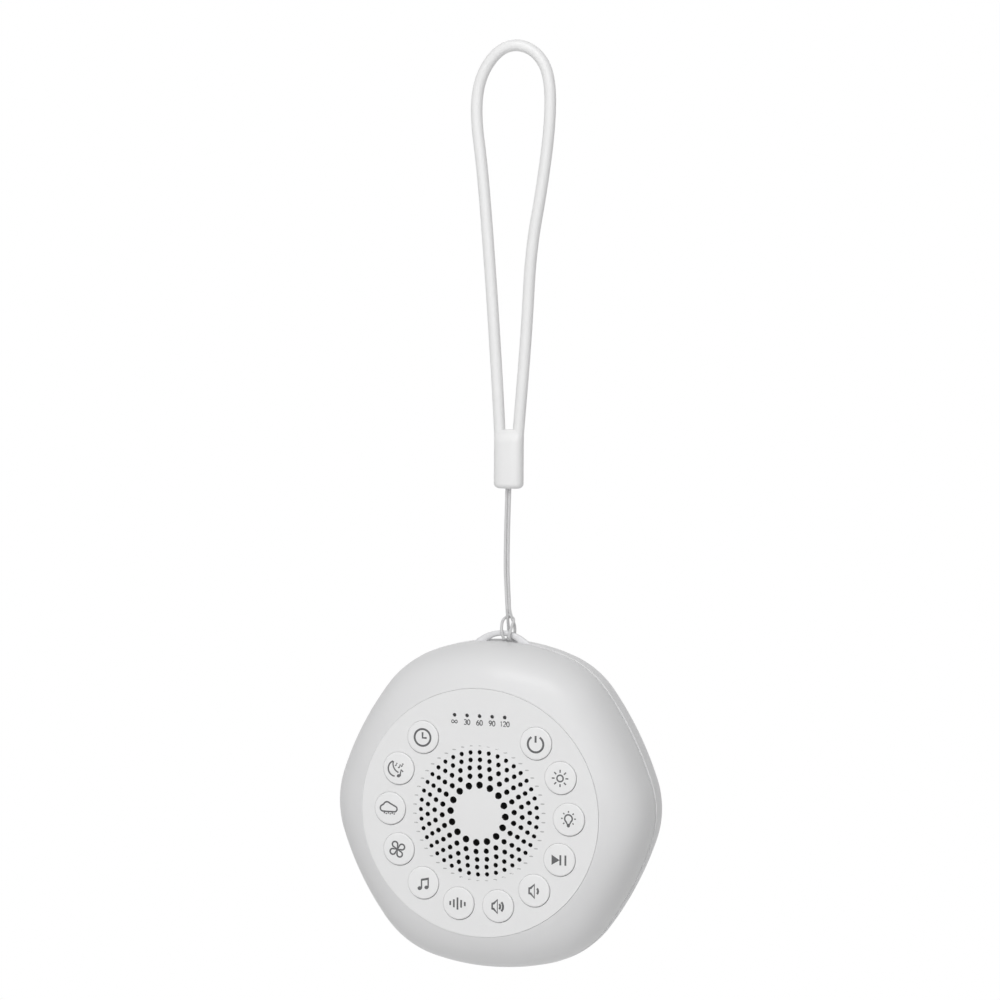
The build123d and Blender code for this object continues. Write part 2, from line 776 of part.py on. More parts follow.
def speaker_cone():
    """Paper cone in its flat surround, closed in the middle by the dust cap."""
    rim_r = SPEAKER_R - SPEAKER_FLANGE_W
    rim = SPEAKER_FACE + CONE_REST
    back = [
        (rim_r, rim),
        (rim_r, rim + CONE_T),
        (rim_r - SURROUND_W, rim + CONE_T),
        (DUST_CAP_R, rim + CONE_T + CONE_DROP),
    ]
    front = [
        (rim_r - SURROUND_W, rim),
        (DUST_CAP_R, rim + CONE_DROP),
    ]
    return turned_facets(back, SPEAKER_SIDES) - turned_facets(front, SPEAKER_SIDES)


def speaker_magnet():
    return peg(MAGNET_R, SPEAKER_SIDES, SPEAKER_BACK, SPEAKER_BACK + MAGNET_T)


# ---------------------------------------------------------------- lanyard
def hanging_path(points, name):
    """Straight runs joined by the largest arcs that fit, with the arc radii printed."""
    points = [Vector(*point) for point in points]
    radii = []
    for before, corner, after in zip(points, points[1:], points[2:]):
        turn = (corner - before).get_angle(after - corner)
        run = min((corner - before).length, (after - corner).length)
        radii.append(0.45 * run / math.tan(math.radians(turn / 2)))
    print(name, "arc radii", [round(radius, 1) for radius in radii])
    return FilletPolyline(points, radius=radii)


def cord_along(path, diameter, sides, name):
    section = RegularPolygon(diameter / 2, sides)
    cord = sweep(Plane(origin=path @ 0, z_dir=path % 0) * section, path=path)
    share = cord.volume / (section.area * path.length)
    print(name, "length", round(path.length, 1), "volume over section x length", round(share, 4))
    return cord


def lanyard_loop():
    path = hanging_path([(x, 0.0, z) for x, z in LOOP_ROUTE], "lanyard_loop")
    return cord_along(path, LOOP_D, LOOP_SIDES, "lanyard_loop")


def string_strand(side):
    """Route of one strand, from the barrel down through the hitch to its middle."""
    bar_z = bar_height() - CASE_HANG
    points = []
    for index, (x, y, z) in enumerate(STRING_ROUTE):
        bow = STRING_BOW if index == STRING_BOW_POINT else 0.0
        points.append((BARREL_X + side * x + bow, y, bar_z + z))
    return points


def lanyard_string():
    path = hanging_path(string_strand(1) + string_strand(-1)[::-1], "lanyard_string")
    return cord_along(path, STRING_D, STRING_SIDES, "lanyard_string")


def barrel_ring(height, widen=0.0, shrink=0.0):
    """Flattened round section of the barrel as a ring of points at a height."""
    radius = BARREL_T / 2 - shrink
    reach = (BARREL_W - BARREL_T) / 2 + widen
    ring = []
    for side in (1, -1):
        for step in range(BARREL_END_CHORDS + 1):
            angle = math.radians(180.0 * step / BARREL_END_CHORDS - 90.0)
            x = side * (reach + radius * math.cos(angle))
            ring.append((BARREL_X + x, side * radius * math.sin(angle), height))
    return ring


def lanyard_barrel(loop, string):
    """Moulded barrel that flares into the two ends of the silicone cord."""
    bottom = BARREL_TOP - BARREL_LENGTH
    body = facets(
        [
            barrel_ring(bottom, shrink=BARREL_ROUND),
            barrel_ring(bottom + BARREL_ROUND),
            barrel_ring(BARREL_TOP - BARREL_FLARE_H),
            barrel_ring(BARREL_TOP, widen=BARREL_FLARE),
        ]
    )
    return body.cut(loop, string)


# ---------------------------------------------------------------- write every node
def main():
    os.makedirs("parts", exist_ok=True)
    case_parts = {
        "front_shell": front_shell(),
        "rear_shell": rear_shell(),
        "face_plate": face_plate(),
        "grille_cloth": grille_cloth(),
        "speaker_basket": speaker_basket(),
        "speaker_cone": speaker_cone(),
        "speaker_magnet": speaker_magnet(),
        "main_board": main_board(),
        "button_switches": switches(),
        "indicator_lights": indicator_lights(),
        "indicator_light_guide": light_guide(),
        "night_lights": night_lights(),
        "battery": battery(),
        "battery_pad": battery_pad(),
        "charge_board": charge_board(),
        "usb_socket": usb_socket(),
        "housing_screws": housing_screws(),
        "lanyard_eyelet": eyelet(),
    }
    for name, (x, z) in button_places():
        case_parts[name] = button(x, z)
    for name, shape in case_parts.items():
        write(name, moved_to_case(shape))
    loop = lanyard_loop()
    string = lanyard_string()
    write("lanyard_loop", loop)
    write("lanyard_string", string)
    write("lanyard_barrel", lanyard_barrel(loop, string))


main()
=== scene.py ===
"""Looks of the portable sound machine and its wrist lanyard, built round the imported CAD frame.

Sizes are in millimetres in the case's own frame (centre of the grille, x right, y back, z up), the
same one as the CAD source uses, and are turned into metres in the row frame by case(). Routes,
lamps and camera say where theirs differ.
"""

import json
import math

import bmesh
import bpy
from mathutils import Matrix, Vector
from mathutils.geometry import delaunay_2d_cdt


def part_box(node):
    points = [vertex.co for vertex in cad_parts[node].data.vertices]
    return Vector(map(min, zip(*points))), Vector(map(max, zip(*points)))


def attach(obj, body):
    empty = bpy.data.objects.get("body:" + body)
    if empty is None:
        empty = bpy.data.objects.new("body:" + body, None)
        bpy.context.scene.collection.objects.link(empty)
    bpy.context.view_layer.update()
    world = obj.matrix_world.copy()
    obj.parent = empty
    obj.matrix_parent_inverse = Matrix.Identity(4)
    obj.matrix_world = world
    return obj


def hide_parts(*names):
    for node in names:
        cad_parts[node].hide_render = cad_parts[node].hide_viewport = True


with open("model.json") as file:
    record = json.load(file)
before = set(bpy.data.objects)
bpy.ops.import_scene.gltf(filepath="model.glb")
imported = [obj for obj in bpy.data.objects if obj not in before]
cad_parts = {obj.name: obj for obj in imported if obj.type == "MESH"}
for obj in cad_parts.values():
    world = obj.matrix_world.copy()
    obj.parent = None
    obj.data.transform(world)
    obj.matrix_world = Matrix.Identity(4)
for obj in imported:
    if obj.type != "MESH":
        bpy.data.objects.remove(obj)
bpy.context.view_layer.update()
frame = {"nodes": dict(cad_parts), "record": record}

MM = 0.001

# ---- case: the CAD source's sizes, with its curves and edges closer to the photograph ----
CORNER_R = 27.0
SIDE_REACH = 47.2
DIAGONAL_REACH = 48.2
CROWN_SIDE_R = 55.6
SLANT_SIDE_R = 95.0
BASE_SIDE_R = 70.0
LIP_DEPTH = 1.4
PARTING_DEPTH = 18.5
BACK_DEPTH = 33.5
FRONT_FULLNESS = 9.5  # how strongly the front's curve runs straight on from the seam
SHOULDER_DROP = 2.9  # depth under the lip of the point that pulls the shoulder out
SHOULDER_SHARE = 0.3  # that point's share of the way in to the lip
REAR_ROLL = 8.0
REAR_POWER = 2.3
WALL = 2.2
PARTING_GAP = 0.15
FRONT_EDGE_ROUND = 0.12
REAR_EDGE_ROUND = 0.22
SEAM_TUCK = 0.16  # the front shell draws in a touch just before the seam
TUCK_SHARE = 0.14  # share of the front's curve over which it does
REAR_PROUD = 0.12  # the rear shell stands out past the front one at the seam
LIP_ROUND = 0.09
CUT_OVER = 1.0  # how far a cutter reaches out of the surface that it cuts

# ---- face plate ----
PLATE_R = 35.5
PLATE_FIT = 0.03
PLATE_FACE = 1.2
PLATE_BACK = 2.8
PLATE_EDGE_ROUND = 0.13
PLATE_EDGE_SHARE = 0.3  # where the one middle ring of its edge lies
GRILLE_R = 19.5
GRILLE_RISE = 1.18
GRILLE_POWER = 1.15
HOLE_ROUND = 0.07
HOLE_CLEAR = 0.12  # how near a guide point may come to a hole's edge
HOLE_WALL_LEAN = 0.5  # a grille face whose normal points less far forwards is a hole's wall
GUIDE_RINGS = 23  # rings of guide points, which carry the dome between the holes
GUIDE_PITCH = 0.9
GUIDE_FIRST = 8
GUIDE_MORE = 4
GRILLE_RINGS = (  # ring radius, number of holes, hole diameter, turn of the ring in degrees
    (8.26, 16, 1.98, 3.0),
    (10.88, 22, 1.54, 3.0),
    (13.2, 28, 1.42, 1.3),
    (15.4, 34, 1.33, 1.3),
    (17.5, 40, 1.23, 0.5),
)
MARK_RING_R = 19.35
MARK_COUNT = 46
MARK_TURN = 0.5
MARK_W = 1.25
MARK_H = 0.4
MARK_LIFT = 0.012

# ---- buttons and lights ----
BUTTON_CIRCLE_R = 26.85
BUTTON_GAP_ANGLE = 78.3
BUTTON_HOLE_R = 4.76
BUTTON_GAP = 0.09
BUTTON_SHIFT = (-0.035, 0.05)  # the caps sit a touch off the middle of their holes
BUTTON_PROUD = 0.45
BUTTON_ROUND = 0.42
BUTTON_CROWN = 0.06
CROWN_PROFILE = ((0.05, 1.0), (1.5, 0.85), (3.0, 0.45))  # radius, share of the crown
FLANGE_GAP = 0.05
FLANGE_R = 5.5
FLANGE_T = 0.7
STEM_R = 1.2
STEM_END = 5.15  # just short of the switch when the button is fully pressed
LIGHT_COUNT = 5
LIGHT_PITCH = 3.76
LIGHT_ROW = 27.72
LIGHT_HOLE_R = 0.54
PEG_GAP = 0.04
PEG_TIP = ((0.05, 0.04), (0.25, 0.06))  # radius, depth under the plate's face
PEG_SHOULDER = 0.2
GUIDE_BAR_BEVEL = 0.15

# ---- printed icons and labels ----
ICON_DEPTH = 0.4  # depth of a drawn icon before it is pressed flat
ICON_THICK = 0.03
ICON_WEIGHT = 1.16  # how much the ink spreads
GLOW_LINE = 0.32
FINE_LINE = 0.34
STEM_LINE = 0.36
OUTER_LINE = 0.38
FAN_LINE = 0.4
BAR_LINE = 0.46
PAUSE_LINE = 0.48
TIMER_LINE = 0.5
POWER_LINE = 0.52
WAVE_LINE = 0.54
SPEAKER_LINE = 0.58
NOTE_LINE = 0.11
NOTE_LINE_SHARE = 0.24  # of the note's size, on top of that
LABELS = ("infinity", "30", "60", "90", "120")
LABEL_ROW = 25.15
DIGIT_HEIGHT = 1.38
DIGIT_PITCH = 1.0
DIGIT_LINE = 0.26
INFINITY_REACH = 0.85
INFINITY_RISE = 1.15
INFINITY_LINE = 0.25

# ---- eyelet and lanyard ----
EYELET_X = 0.5
EYELET_DEPTH = 19.0
EYELET_ARC = (8.4, 2.8)  # half of its width where it enters the crown, and its height
OPENING_ARC = (4.6, 1.25)
EYELET_SINK = 0.6
EYELET_T = 1.5
EYELET_LEG = 3.0
EYELET_POWER = 2.5
SCOOP_R = 2.75
BARREL_X = -1.6  # in the row frame, as are its top and bottom
BARREL_TOP = -107.3
BARREL_BOTTOM = -124.1
BARREL_W = 8.6
BARREL_T = 5.36
BARREL_FOOT_ROUND = 1.5
BARREL_FLARE = 3.4
BARREL_WIDEN = 0.12
BARREL_THIN = 0.8
BARREL_POWER = 2.5
BARREL_TOP_ROUND = 0.12
LOOP_D = 3.3
STRING_D = 0.84
# sideways shifts of some of the string's points, on the left strand and on the right one
STRING_SHIFTS = {1: (-0.7, -0.7), 3: (0.3, 0.3), 4: (0.9, 0.5), 5: (0.5, 0.3)}
LOOP_ROUTE = (  # x, z in the row frame
    (-4.15, -112.3), (-4.8, -100.1), (-6.4, -77.0), (-8.2, -54.0), (-10.1, -33.0), (-12.3, -17.6),
    (-11.0, -7.4), (-5.9, 0.0), (0.1, 2.0), (6.1, -0.4), (9.9, -6.7), (10.3, -19.2),
    (8.0, -37.7), (4.6, -56.3), (3.6, -77.8), (1.9, -99.9), (0.85, -112.3),
)
STRING_ROUTE = (  # x, y, z from the bar's centre, one half
    (0.45, 0.0, 44.5), (0.45, 0.0, 22.0), (0.43, -0.1, 10.2), (0.37, -0.5, 6.2),
    (1.3, 1.75, 1.76), (0.8, 1.8, -1.75), (0.6, -1.72, -1.78), (1.5, -1.75, 1.61),
    (1.8, 1.28, 4.73),
)

# ---- back of the case ----
SCREW_CORNERS = ((1, 1), (-1, 1), (-1, -1), (1, -1))
SCREW_RECESS_R = 1.95
RECESS_CHAMFER = 0.25
SCREW_SEAT = 27.0
SCREW_TUBE_R = 2.9
SCREW_TUBE_FLOOR = 0.6
SCREW_HOLE_R = 0.9
TUBE_GAP = 0.02
SCREW_HEAD_R = 1.8
SCREW_HEAD_T = 1.4
SCREW_GAP = 0.01
HEAD_EDGE = ((0.0, 0.5), (0.1, 0.16), (0.35, 0.0))  # in from the rim, down from the crown
SHANK_R = 0.7
SHANK_LENGTH = 8.0
CROSS_ARM = (2.0, 1.2, 0.42)  # one arm of the cross recess, long by deep by wide
SOCKET_DEPTH = 26.1
SOCKET_SLOT = (9.3, 3.6)
SOCKET_CUT = (-67.0, -38.0)  # heights between which the slot is cut

# ---- camera, fitted to the photograph, in the row frame ----
CAMERA_PLACE = (357.5, -1028.0, -35.3)
CAMERA_FORWARD = (-0.3307, 0.9399, -0.0843)
CAMERA_UP = (-0.0336, 0.078, 0.9964)
CAMERA_LENS = 137.9
SENSOR = 36.0
CLIP_END = 50.0

# ---- stage and lamps, in metres and watts in the row frame ----
FLOOR_Z = -0.9
FLOOR_HALF = 6.0
FLOOR_GREY = 0.8
WORLD_GREY = 0.9
WORLD_STRENGTH = 0.447
LAMP_AIM = (0.0, 0.0, -0.21)
LAMPS = {  # place, width, height, power
    "key": ((-0.25, -1.5, 0.1), 1.3, 1.3, 2.7),
    "right": ((0.6, -1.35, 0.2), 0.9, 0.9, 6.4),
    "strip": ((0.02, -0.75, 0.75), 0.7, 0.35, 5.5),
    "low": ((-0.35, -0.8, -0.95), 0.8, 0.8, 2.0),
    "back": ((-0.45, 1.28, -0.325), 0.3, 0.3, 6.0),
}

# ---- how finely forms are drawn, and where their shading breaks ----
ROUND_STEPS = 48
CORNER_STEPS = 52
SIDE_STEPS = 36
FRONT_STEPS = 64
REAR_STEPS = 30
INNER_STEPS = 6
EDGE_STEPS = 4  # at the seam and at the barrel's top
LIP_STEPS = 5
CAP_STEPS = 6
SLOT_STEPS = 12
PLATE_STEPS = 180
BUTTON_STEPS = 64
FINE_STEPS = 32  # round the screws and the printed sun
PEG_STEPS = 24
SPOT_STEPS = 20  # round small holes and printed spots
MARK_STEPS = 10
ARCH_STEPS = 40  # along the eyelet and the endless sign
EYELET_SIDES = 28
BARREL_SIDES = 44
BARREL_STEPS = 8
SMOOTH_ANGLE = 40.0
PLATE_SMOOTH_ANGLE = 18.0
EYELET_SMOOTH_ANGLE = 60.0
SCREW_SMOOTH_ANGLE = 20.0


# ---- places and curves ----
def case_origin():
    """Centre of the case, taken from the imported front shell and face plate."""
    plate_low, plate_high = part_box("face_plate")
    shell_low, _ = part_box("front_shell")
    centre = (plate_low + plate_high) / 2
    return Vector((centre.x, shell_low.y - LIP_DEPTH * MM, centre.z))


ORIGIN = case_origin()


def case(x, y, z):
    """A point of the case frame, in metres in the row frame."""
    return ORIGIN + Vector((x, y, z)) * MM


def at_angle(radius, degrees):
    angle = math.radians(degrees)
    return radius * math.cos(angle), radius * math.sin(angle)


def circle(x, z, radius, steps):
    """Points (x, z) of a circle, from its right-hand side and upwards."""
    points = []
    for step in range(steps):
        dx, dz = at_angle(radius, 360.0 * step / steps)
        points.append((x + dx, z + dz))
    return points


def quarter_turn(steps, first=0):
    """Sines and cosines of even steps from 0 to 90 degrees."""
    for step in range(first, steps + 1):
        angle = math.pi / 2 * step / steps
        yield math.sin(angle), math.cos(angle)


def quarter_round(width, height, steps, power=2.0):
    """A quarter of an ellipse or, with a power above 2, of a fuller superellipse."""
    return [
        (width * sine ** (2 / power), height * cosine ** (2 / power))
        for sine, cosine in quarter_turn(steps)
    ]


def soft_ring(sides, power):
    """Points of a unit superellipse: a circle at power 2, squarer above it."""
    for step in range(sides):
        angle = 2 * math.pi * step / sides
        yield [
            math.copysign(abs(reach) ** (2 / power), reach)
            for reach in (math.cos(angle), math.sin(angle))
        ]


# ---- mesh helpers ----
def new_object(name, data):
    obj = bpy.data.objects.new(name, data)
    bpy.context.scene.collection.objects.link(obj)
    return obj


def mesh_object(name, vertices, faces):
    mesh = bpy.data.meshes.new(name)
    mesh.from_pydata([tuple(v) for v in vertices], [], faces)
    mesh.validate()
    return new_object(name, mesh)


def bmesh_object(name, work):
    """An object out of a bmesh, which is freed."""
    mesh = bpy.data.meshes.new(name)
    work.to_mesh(mesh)
    work.free()
    return new_object(name, mesh)


def closed_body(obj):
    """Merge doubled points and turn all faces outwards."""
    work = bmesh.new()
    work.from_mesh(obj.data)
    bmesh.ops.remove_doubles(work, verts=work.verts, dist=1e-7)
    bmesh.ops.recalc_face_normals(work, faces=work.faces)
    work.to_mesh(obj.data)
    work.free()
    return obj


def finish_shading(obj, angle=SMOOTH_ANGLE):
    """Smooth faces, with the mesh parted along the edges where the form turns sharply."""
    closed_body(obj)
    work = bmesh.new()
    work.from_mesh(obj.data)
    limit = math.radians(angle)
    sharp = [edge for edge in work.edges if edge.calc_face_angle(0.0) > limit]
    bmesh.ops.split_edges(work, edges=sharp)
    work.to_mesh(obj.data)
    work.free()
    obj.data.shade_smooth()
    return obj


def wall_faces(above, below):
    """Quads between two closed loops of vertex numbers that run side by side."""
    return list(zip(above, above[1:] + above[:1], below[1:] + below[:1], below))


def swept(name, rings, hollow=False):
    """Mesh over rings of points, its ends capped or, if hollow, joined to each other."""
    count = len(rings[0])
    loops = [list(range(start, start + count)) for start in range(0, len(rings) * count, count)]
    faces = []
    for above, below in zip(loops, loops[1:] + loops[:1] if hollow else loops[1:]):
        faces += wall_faces(above, below)
    if not hollow:
        faces += [loops[0], loops[-1]]
    return mesh_object(name, [point for ring in rings for point in ring], faces)


def lathe(name, profile, x, z, steps=ROUND_STEPS, hollow=False):
    """Closed body of revolution about a line along the depth, from (radius, depth) points."""
    rings = []
    for radius, depth in profile:
        rings.append([case(px, depth, pz) for px, pz in circle(x, z, radius, steps)])
    return closed_body(swept(name, rings, hollow))


def box_object(name, centre, size, bevel=0.0):
    """A box, in metres, with its edges bevelled if asked."""
    work = bmesh.new()
    bmesh.ops.create_cube(work, size=1.0)
    place = Matrix.Translation(centre) @ Matrix.Diagonal((*size, 1.0))
    bmesh.ops.transform(work, matrix=place, verts=work.verts)
    if bevel:
        bmesh.ops.bevel(work, geom=work.edges[:], offset=bevel, segments=2, affect="EDGES")
    return bmesh_object(name, work)


def joined(name, objects):
    """One mesh object out of several."""
    work = bmesh.new()
    for obj in objects:
        part = obj.data.copy()
        part.transform(obj.matrix_world)
        work.from_mesh(part)
        bpy.data.meshes.remove(part)
        bpy.data.objects.remove(obj)
    return bmesh_object(name, work)


def baked(obj):
    """The object's evaluated shape as a plain mesh under the same name."""
    bpy.context.view_layer.update()
    graph = bpy.context.evaluated_depsgraph_get()
    mesh = bpy.data.meshes.new_from_object(obj.evaluated_get(graph))
    name = obj.name
    world = obj.matrix_world.copy()
    bpy.data.objects.remove(obj)
    made = new_object(name, mesh)
    made.matrix_world = world
    return made


def cut(obj, cutters):
    """Take closed cutter bodies out of a closed body."""
    for cutter in cutters:
        modifier = obj.modifiers.new("cut", "BOOLEAN")
        modifier.operation = "DIFFERENCE"
        modifier.solver = "EXACT"
        modifier.object = cutter
    made = baked(obj)
    for cutter in cutters:
        bpy.data.objects.remove(cutter)
    return made


# ---- case outline ----
def corner_centre(corner):
    reach = SIDE_REACH if corner % 3 == 0 else DIAGONAL_REACH
    return Vector(at_angle(reach - CORNER_R, 60.0 * corner))


def arc_samples(centre, radius, start, end, steps):
    begin = math.atan2(start.y, start.x)
    turn = math.atan2(start.x * end.y - start.y * end.x, start.dot(end))
    samples = []
    for step in range(steps):
        angle = begin + turn * step / steps
        direction = Vector((math.cos(angle), math.sin(angle)))
        samples.append((centre + direction * radius, direction))
    return samples


def outline_samples():
    """Points of the outline with their outward directions, as arcs of six corners and six sides."""
    tips = [corner_centre(corner) for corner in range(6)]
    sides = []
    for corner, first in enumerate(tips):
        second = tips[(corner + 1) % 6]
        radius = {1: CROWN_SIDE_R, 4: BASE_SIDE_R}.get(corner, SLANT_SIDE_R)
        chord = (second - first).normalized()
        outward = Vector((chord.y, -chord.x))
        if outward.dot(first + second) < 0:
            outward = -outward
        half = (second - first).length / 2
        centre = (first + second) / 2 - outward * math.sqrt((radius - CORNER_R) ** 2 - half**2)
        start, end = [(point - centre).normalized() for point in (first, second)]
        sides.append((centre, radius, start, end))
    samples = []
    for corner, (centre, radius, start, end) in enumerate(sides):
        following = (corner + 1) % 6
        samples += arc_samples(centre, radius, start, end, SIDE_STEPS)
        samples += arc_samples(tips[following], CORNER_R, end, sides[following][2], CORNER_STEPS)
    return samples


OUTLINE = outline_samples()


def outline_ring(inset, depth, radius=0.0, blend=0.0):
    """The outline, drawn in by an inset and then some share of the way towards a circle."""
    ring = []
    for point, direction in OUTLINE:
        place = point - direction * inset
        place = place.lerp(place.normalized() * radius, blend)
        ring.append(case(place.x, depth, place.y))
    return ring


def seam_rings(side, plane, edge, outset):
    """Rounded edge of one shell at the parting plane, from inside to outside."""
    rings = [outline_ring(WALL, plane), outline_ring(edge - outset, plane)]
    for sine, cosine in quarter_turn(EDGE_STEPS, 1):
        inset = edge * (1 - sine) - outset
        rings.append(outline_ring(inset, plane + side * edge * (1 - cosine)))
    return rings


# ---- the eyelet's arch ----
def crown_height():
    return max(point.y for point, _ in OUTLINE)


def arch_radius(half, top):
    rise = top + EYELET_SINK
    return (half**2 + rise**2) / (2 * rise)


def arch_height(half, top, x):
    """Height above the crown of an arc's point at a distance from the eyelet's middle."""
    radius = arch_radius(half, top)
    return top - radius + math.sqrt(radius**2 - x**2)


def bar_height():
    """Height of the middle of the eyelet's bar where the string goes round it."""
    string_x = BARREL_X - ORIGIN.x / MM - EYELET_X
    outside = arch_height(*EYELET_ARC, string_x)
    opening = arch_height(*OPENING_ARC, string_x)
    return crown_height() + (outside + opening) / 2


def eyelet_hollow():
    """Cutter for the hollow under the eyelet's bar."""
    work = bmesh.new()
    place = Matrix.Translation(case(EYELET_X, EYELET_DEPTH, bar_height()))
    bmesh.ops.create_cone(
        work,
        cap_ends=True,
        segments=ROUND_STEPS,
        radius1=SCOOP_R * MM,
        radius2=SCOOP_R * MM,
        depth=2 * OPENING_ARC[0] * MM,
        matrix=place @ Matrix.Rotation(math.pi / 2, 4, "Y"),
    )
    return bmesh_object("scoop", work)


def eyelet_skin():
    """Crescent arch with a soft full section, running straight down into the crown at its ends."""
    rows = []
    for step in range(ARCH_STEPS + 1):
        share = 1.0 - 2.0 * step / ARCH_STEPS
        ends = []
        for half, top in (EYELET_ARC, OPENING_ARC):
            radius = arch_radius(half, top)
            x, z = at_angle(radius, 90.0 + share * math.degrees(math.asin(half / radius)))
            ends.append(Vector((EYELET_X + x, 0.0, crown_height() + top - radius + z)))
        rows.append(ends)
    drop = Vector((0.0, 0.0, EYELET_LEG))
    first_leg, last_leg = [[end - drop for end in rows[index]] for index in (0, -1)]
    rings = []
    for outer, inner in (first_leg, *rows, last_leg):
        middle = (outer + inner) / 2
        reach = (outer - inner) / 2
        ring = []
        for up, back in soft_ring(EYELET_SIDES, EYELET_POWER):
            place = middle + reach * up
            ring.append(case(place.x, EYELET_DEPTH + EYELET_T / 2 * back, place.z))
        rings.append(ring)
    return finish_shading(swept("eyelet_skin", rings), EYELET_SMOOTH_ANGLE)


# ---- shells ----
def front_profile(along, seam_depth):
    """Depth and share of the way in to the lip, along a cubic that leaves the seam square to it."""
    back = 1.0 - along
    weights = (back**3, 3 * back**2 * along, 3 * back * along**2, along**3)
    depths = (seam_depth, seam_depth - FRONT_FULLNESS, LIP_DEPTH + SHOULDER_DROP, LIP_DEPTH)
    shares = (0.0, 0.0, SHOULDER_SHARE, 1.0)
    return [
        sum(weight * value for weight, value in zip(weights, values)) for values in (depths, shares)
    ]


def front_skin():
    """Front shell: from the seam round the shoulder to the lip, and down the plate's seat."""
    plane = PARTING_DEPTH - PARTING_GAP / 2
    rings = seam_rings(-1, plane, FRONT_EDGE_ROUND, -SEAM_TUCK)
    mouth = PLATE_R + PLATE_FIT
    for step in range(1, FRONT_STEPS + 1):
        along = step / FRONT_STEPS
        depth, blend = front_profile(along, plane - FRONT_EDGE_ROUND)
        tuck = SEAM_TUCK * max(0.0, 1.0 - along / TUCK_SHARE) ** 2
        rings.append(outline_ring(tuck, depth, mouth + LIP_ROUND, blend))
    for sine, cosine in quarter_turn(LIP_STEPS, 1):
        radius, depth = mouth + LIP_ROUND * (1 - sine), LIP_DEPTH + LIP_ROUND * (1 - cosine)
        rings.append(outline_ring(0.0, depth, radius, 1.0))
    rings += [outline_ring(0.0, depth, mouth, 1.0) for depth in (PLATE_BACK, PLATE_BACK + WALL)]
    skin = closed_body(swept("front_shell_skin", rings, hollow=True))
    return finish_shading(cut(skin, [eyelet_hollow()]))


def screw_places():
    """Centres of the four screws, from the box of the CAD screws."""
    low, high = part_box("housing_screws")
    reach = (high.x - low.x) / 2 / MM - SCREW_HEAD_R
    return [(math.copysign(reach, x), math.copysign(reach, z)) for x, z in SCREW_CORNERS]


def socket_cutter():
    """Rounded slot for the charging socket, cut up into the bottom of the rear shell."""
    width, height = SOCKET_SLOT
    radius = height / 2
    outline = []
    for side in (1, -1):
        for step in range(SLOT_STEPS + 1):
            angle = math.pi * step / SLOT_STEPS - math.pi / 2
            x = side * (width / 2 - radius + radius * math.cos(angle))
            outline.append((x, SOCKET_DEPTH + side * radius * math.sin(angle)))
    rings = [[case(x, y, z) for x, y in outline] for z in SOCKET_CUT]
    return closed_body(swept("socket_slot", rings))


def rear_skin():
    """Rear shell with its wall, its recesses for the screws and its slot for the socket."""
    plane = PARTING_DEPTH + PARTING_GAP / 2
    depth = BACK_DEPTH - PARTING_DEPTH
    inner = quarter_round(REAR_ROLL - WALL, depth - WALL, INNER_STEPS)
    outer = quarter_round(REAR_ROLL + REAR_PROUD, depth, REAR_STEPS, REAR_POWER)
    start = REAR_EDGE_ROUND + PARTING_GAP / 2
    rings = [outline_ring(REAR_ROLL - x, PARTING_DEPTH + y) for x, y in inner[:-1]]
    rings.append(outline_ring(WALL, plane + REAR_EDGE_ROUND))
    rings += seam_rings(1, plane, REAR_EDGE_ROUND, REAR_PROUD)
    rings += [outline_ring(REAR_ROLL - x, PARTING_DEPTH + y) for x, y in outer[::-1] if y > start]
    skin = closed_body(swept("rear_shell_skin", rings))
    cutters = [eyelet_hollow(), socket_cutter()]
    rim = SCREW_RECESS_R + RECESS_CHAMFER
    profile = (
        (SCREW_RECESS_R, SCREW_SEAT),
        (SCREW_RECESS_R, BACK_DEPTH - RECESS_CHAMFER),
        (rim, BACK_DEPTH),
        (rim, BACK_DEPTH + CUT_OVER),
    )
    cutters += [lathe("recess", profile, x, z) for x, z in screw_places()]
    return finish_shading(cut(skin, cutters))


def screw_tubes():
    """Tubes behind the recesses, on whose floors the screw heads bear."""
    top = BACK_DEPTH - WALL - TUBE_GAP
    floor = SCREW_SEAT - SCREW_TUBE_FLOOR
    profile = (
        (SCREW_TUBE_R, floor),
        (SCREW_TUBE_R, top),
        (SCREW_RECESS_R, top),
        (SCREW_RECESS_R, SCREW_SEAT),
        (SCREW_HOLE_R, SCREW_SEAT),
        (SCREW_HOLE_R, floor),
    )
    tubes = [lathe("tube", profile, x, z, hollow=True) for x, z in screw_places()]
    return finish_shading(joined("screw_tubes", tubes))


def screw_skin():
    """Pan-head screws with a cross recess."""
    crown = SCREW_SEAT + SCREW_HEAD_T
    bearing = SCREW_SEAT + SCREW_GAP
    profile = [(SHANK_R, SCREW_SEAT - SHANK_LENGTH), (SHANK_R, bearing), (SCREW_HEAD_R, bearing)]
    profile += [(SCREW_HEAD_R - inset, crown - drop) for inset, drop in HEAD_EDGE]
    screws = []
    for x, z in screw_places():
        head = lathe("screw", profile, x, z, FINE_STEPS)
        slots = []
        for arm in (CROSS_ARM, CROSS_ARM[::-1]):
            slots.append(box_object("slot", case(x, crown, z), [value * MM for value in arm]))
        screws.append(cut(head, slots))
    return finish_shading(joined("housing_screws_skin", screws), SCREW_SMOOTH_ANGLE)


# ---- face plate ----
def dome_rise(radius):
    """Height of the grille dome over the plate, easing out into the flat."""
    share = min(radius / GRILLE_R, 1.0)
    return GRILLE_RISE * (1.0 - share * share) ** GRILLE_POWER


def plate_depth(x, z):
    return PLATE_FACE - dome_rise(math.hypot(x, z))


def button_places():
    """The buttons' names and centres, from the upper left down and round to the upper right."""
    step = (360.0 - BUTTON_GAP_ANGLE) / (len(ICONS) - 1)
    first = 90.0 + BUTTON_GAP_ANGLE / 2
    for index, name in enumerate(ICONS):
        yield name, at_angle(BUTTON_CIRCLE_R, first + index * step)


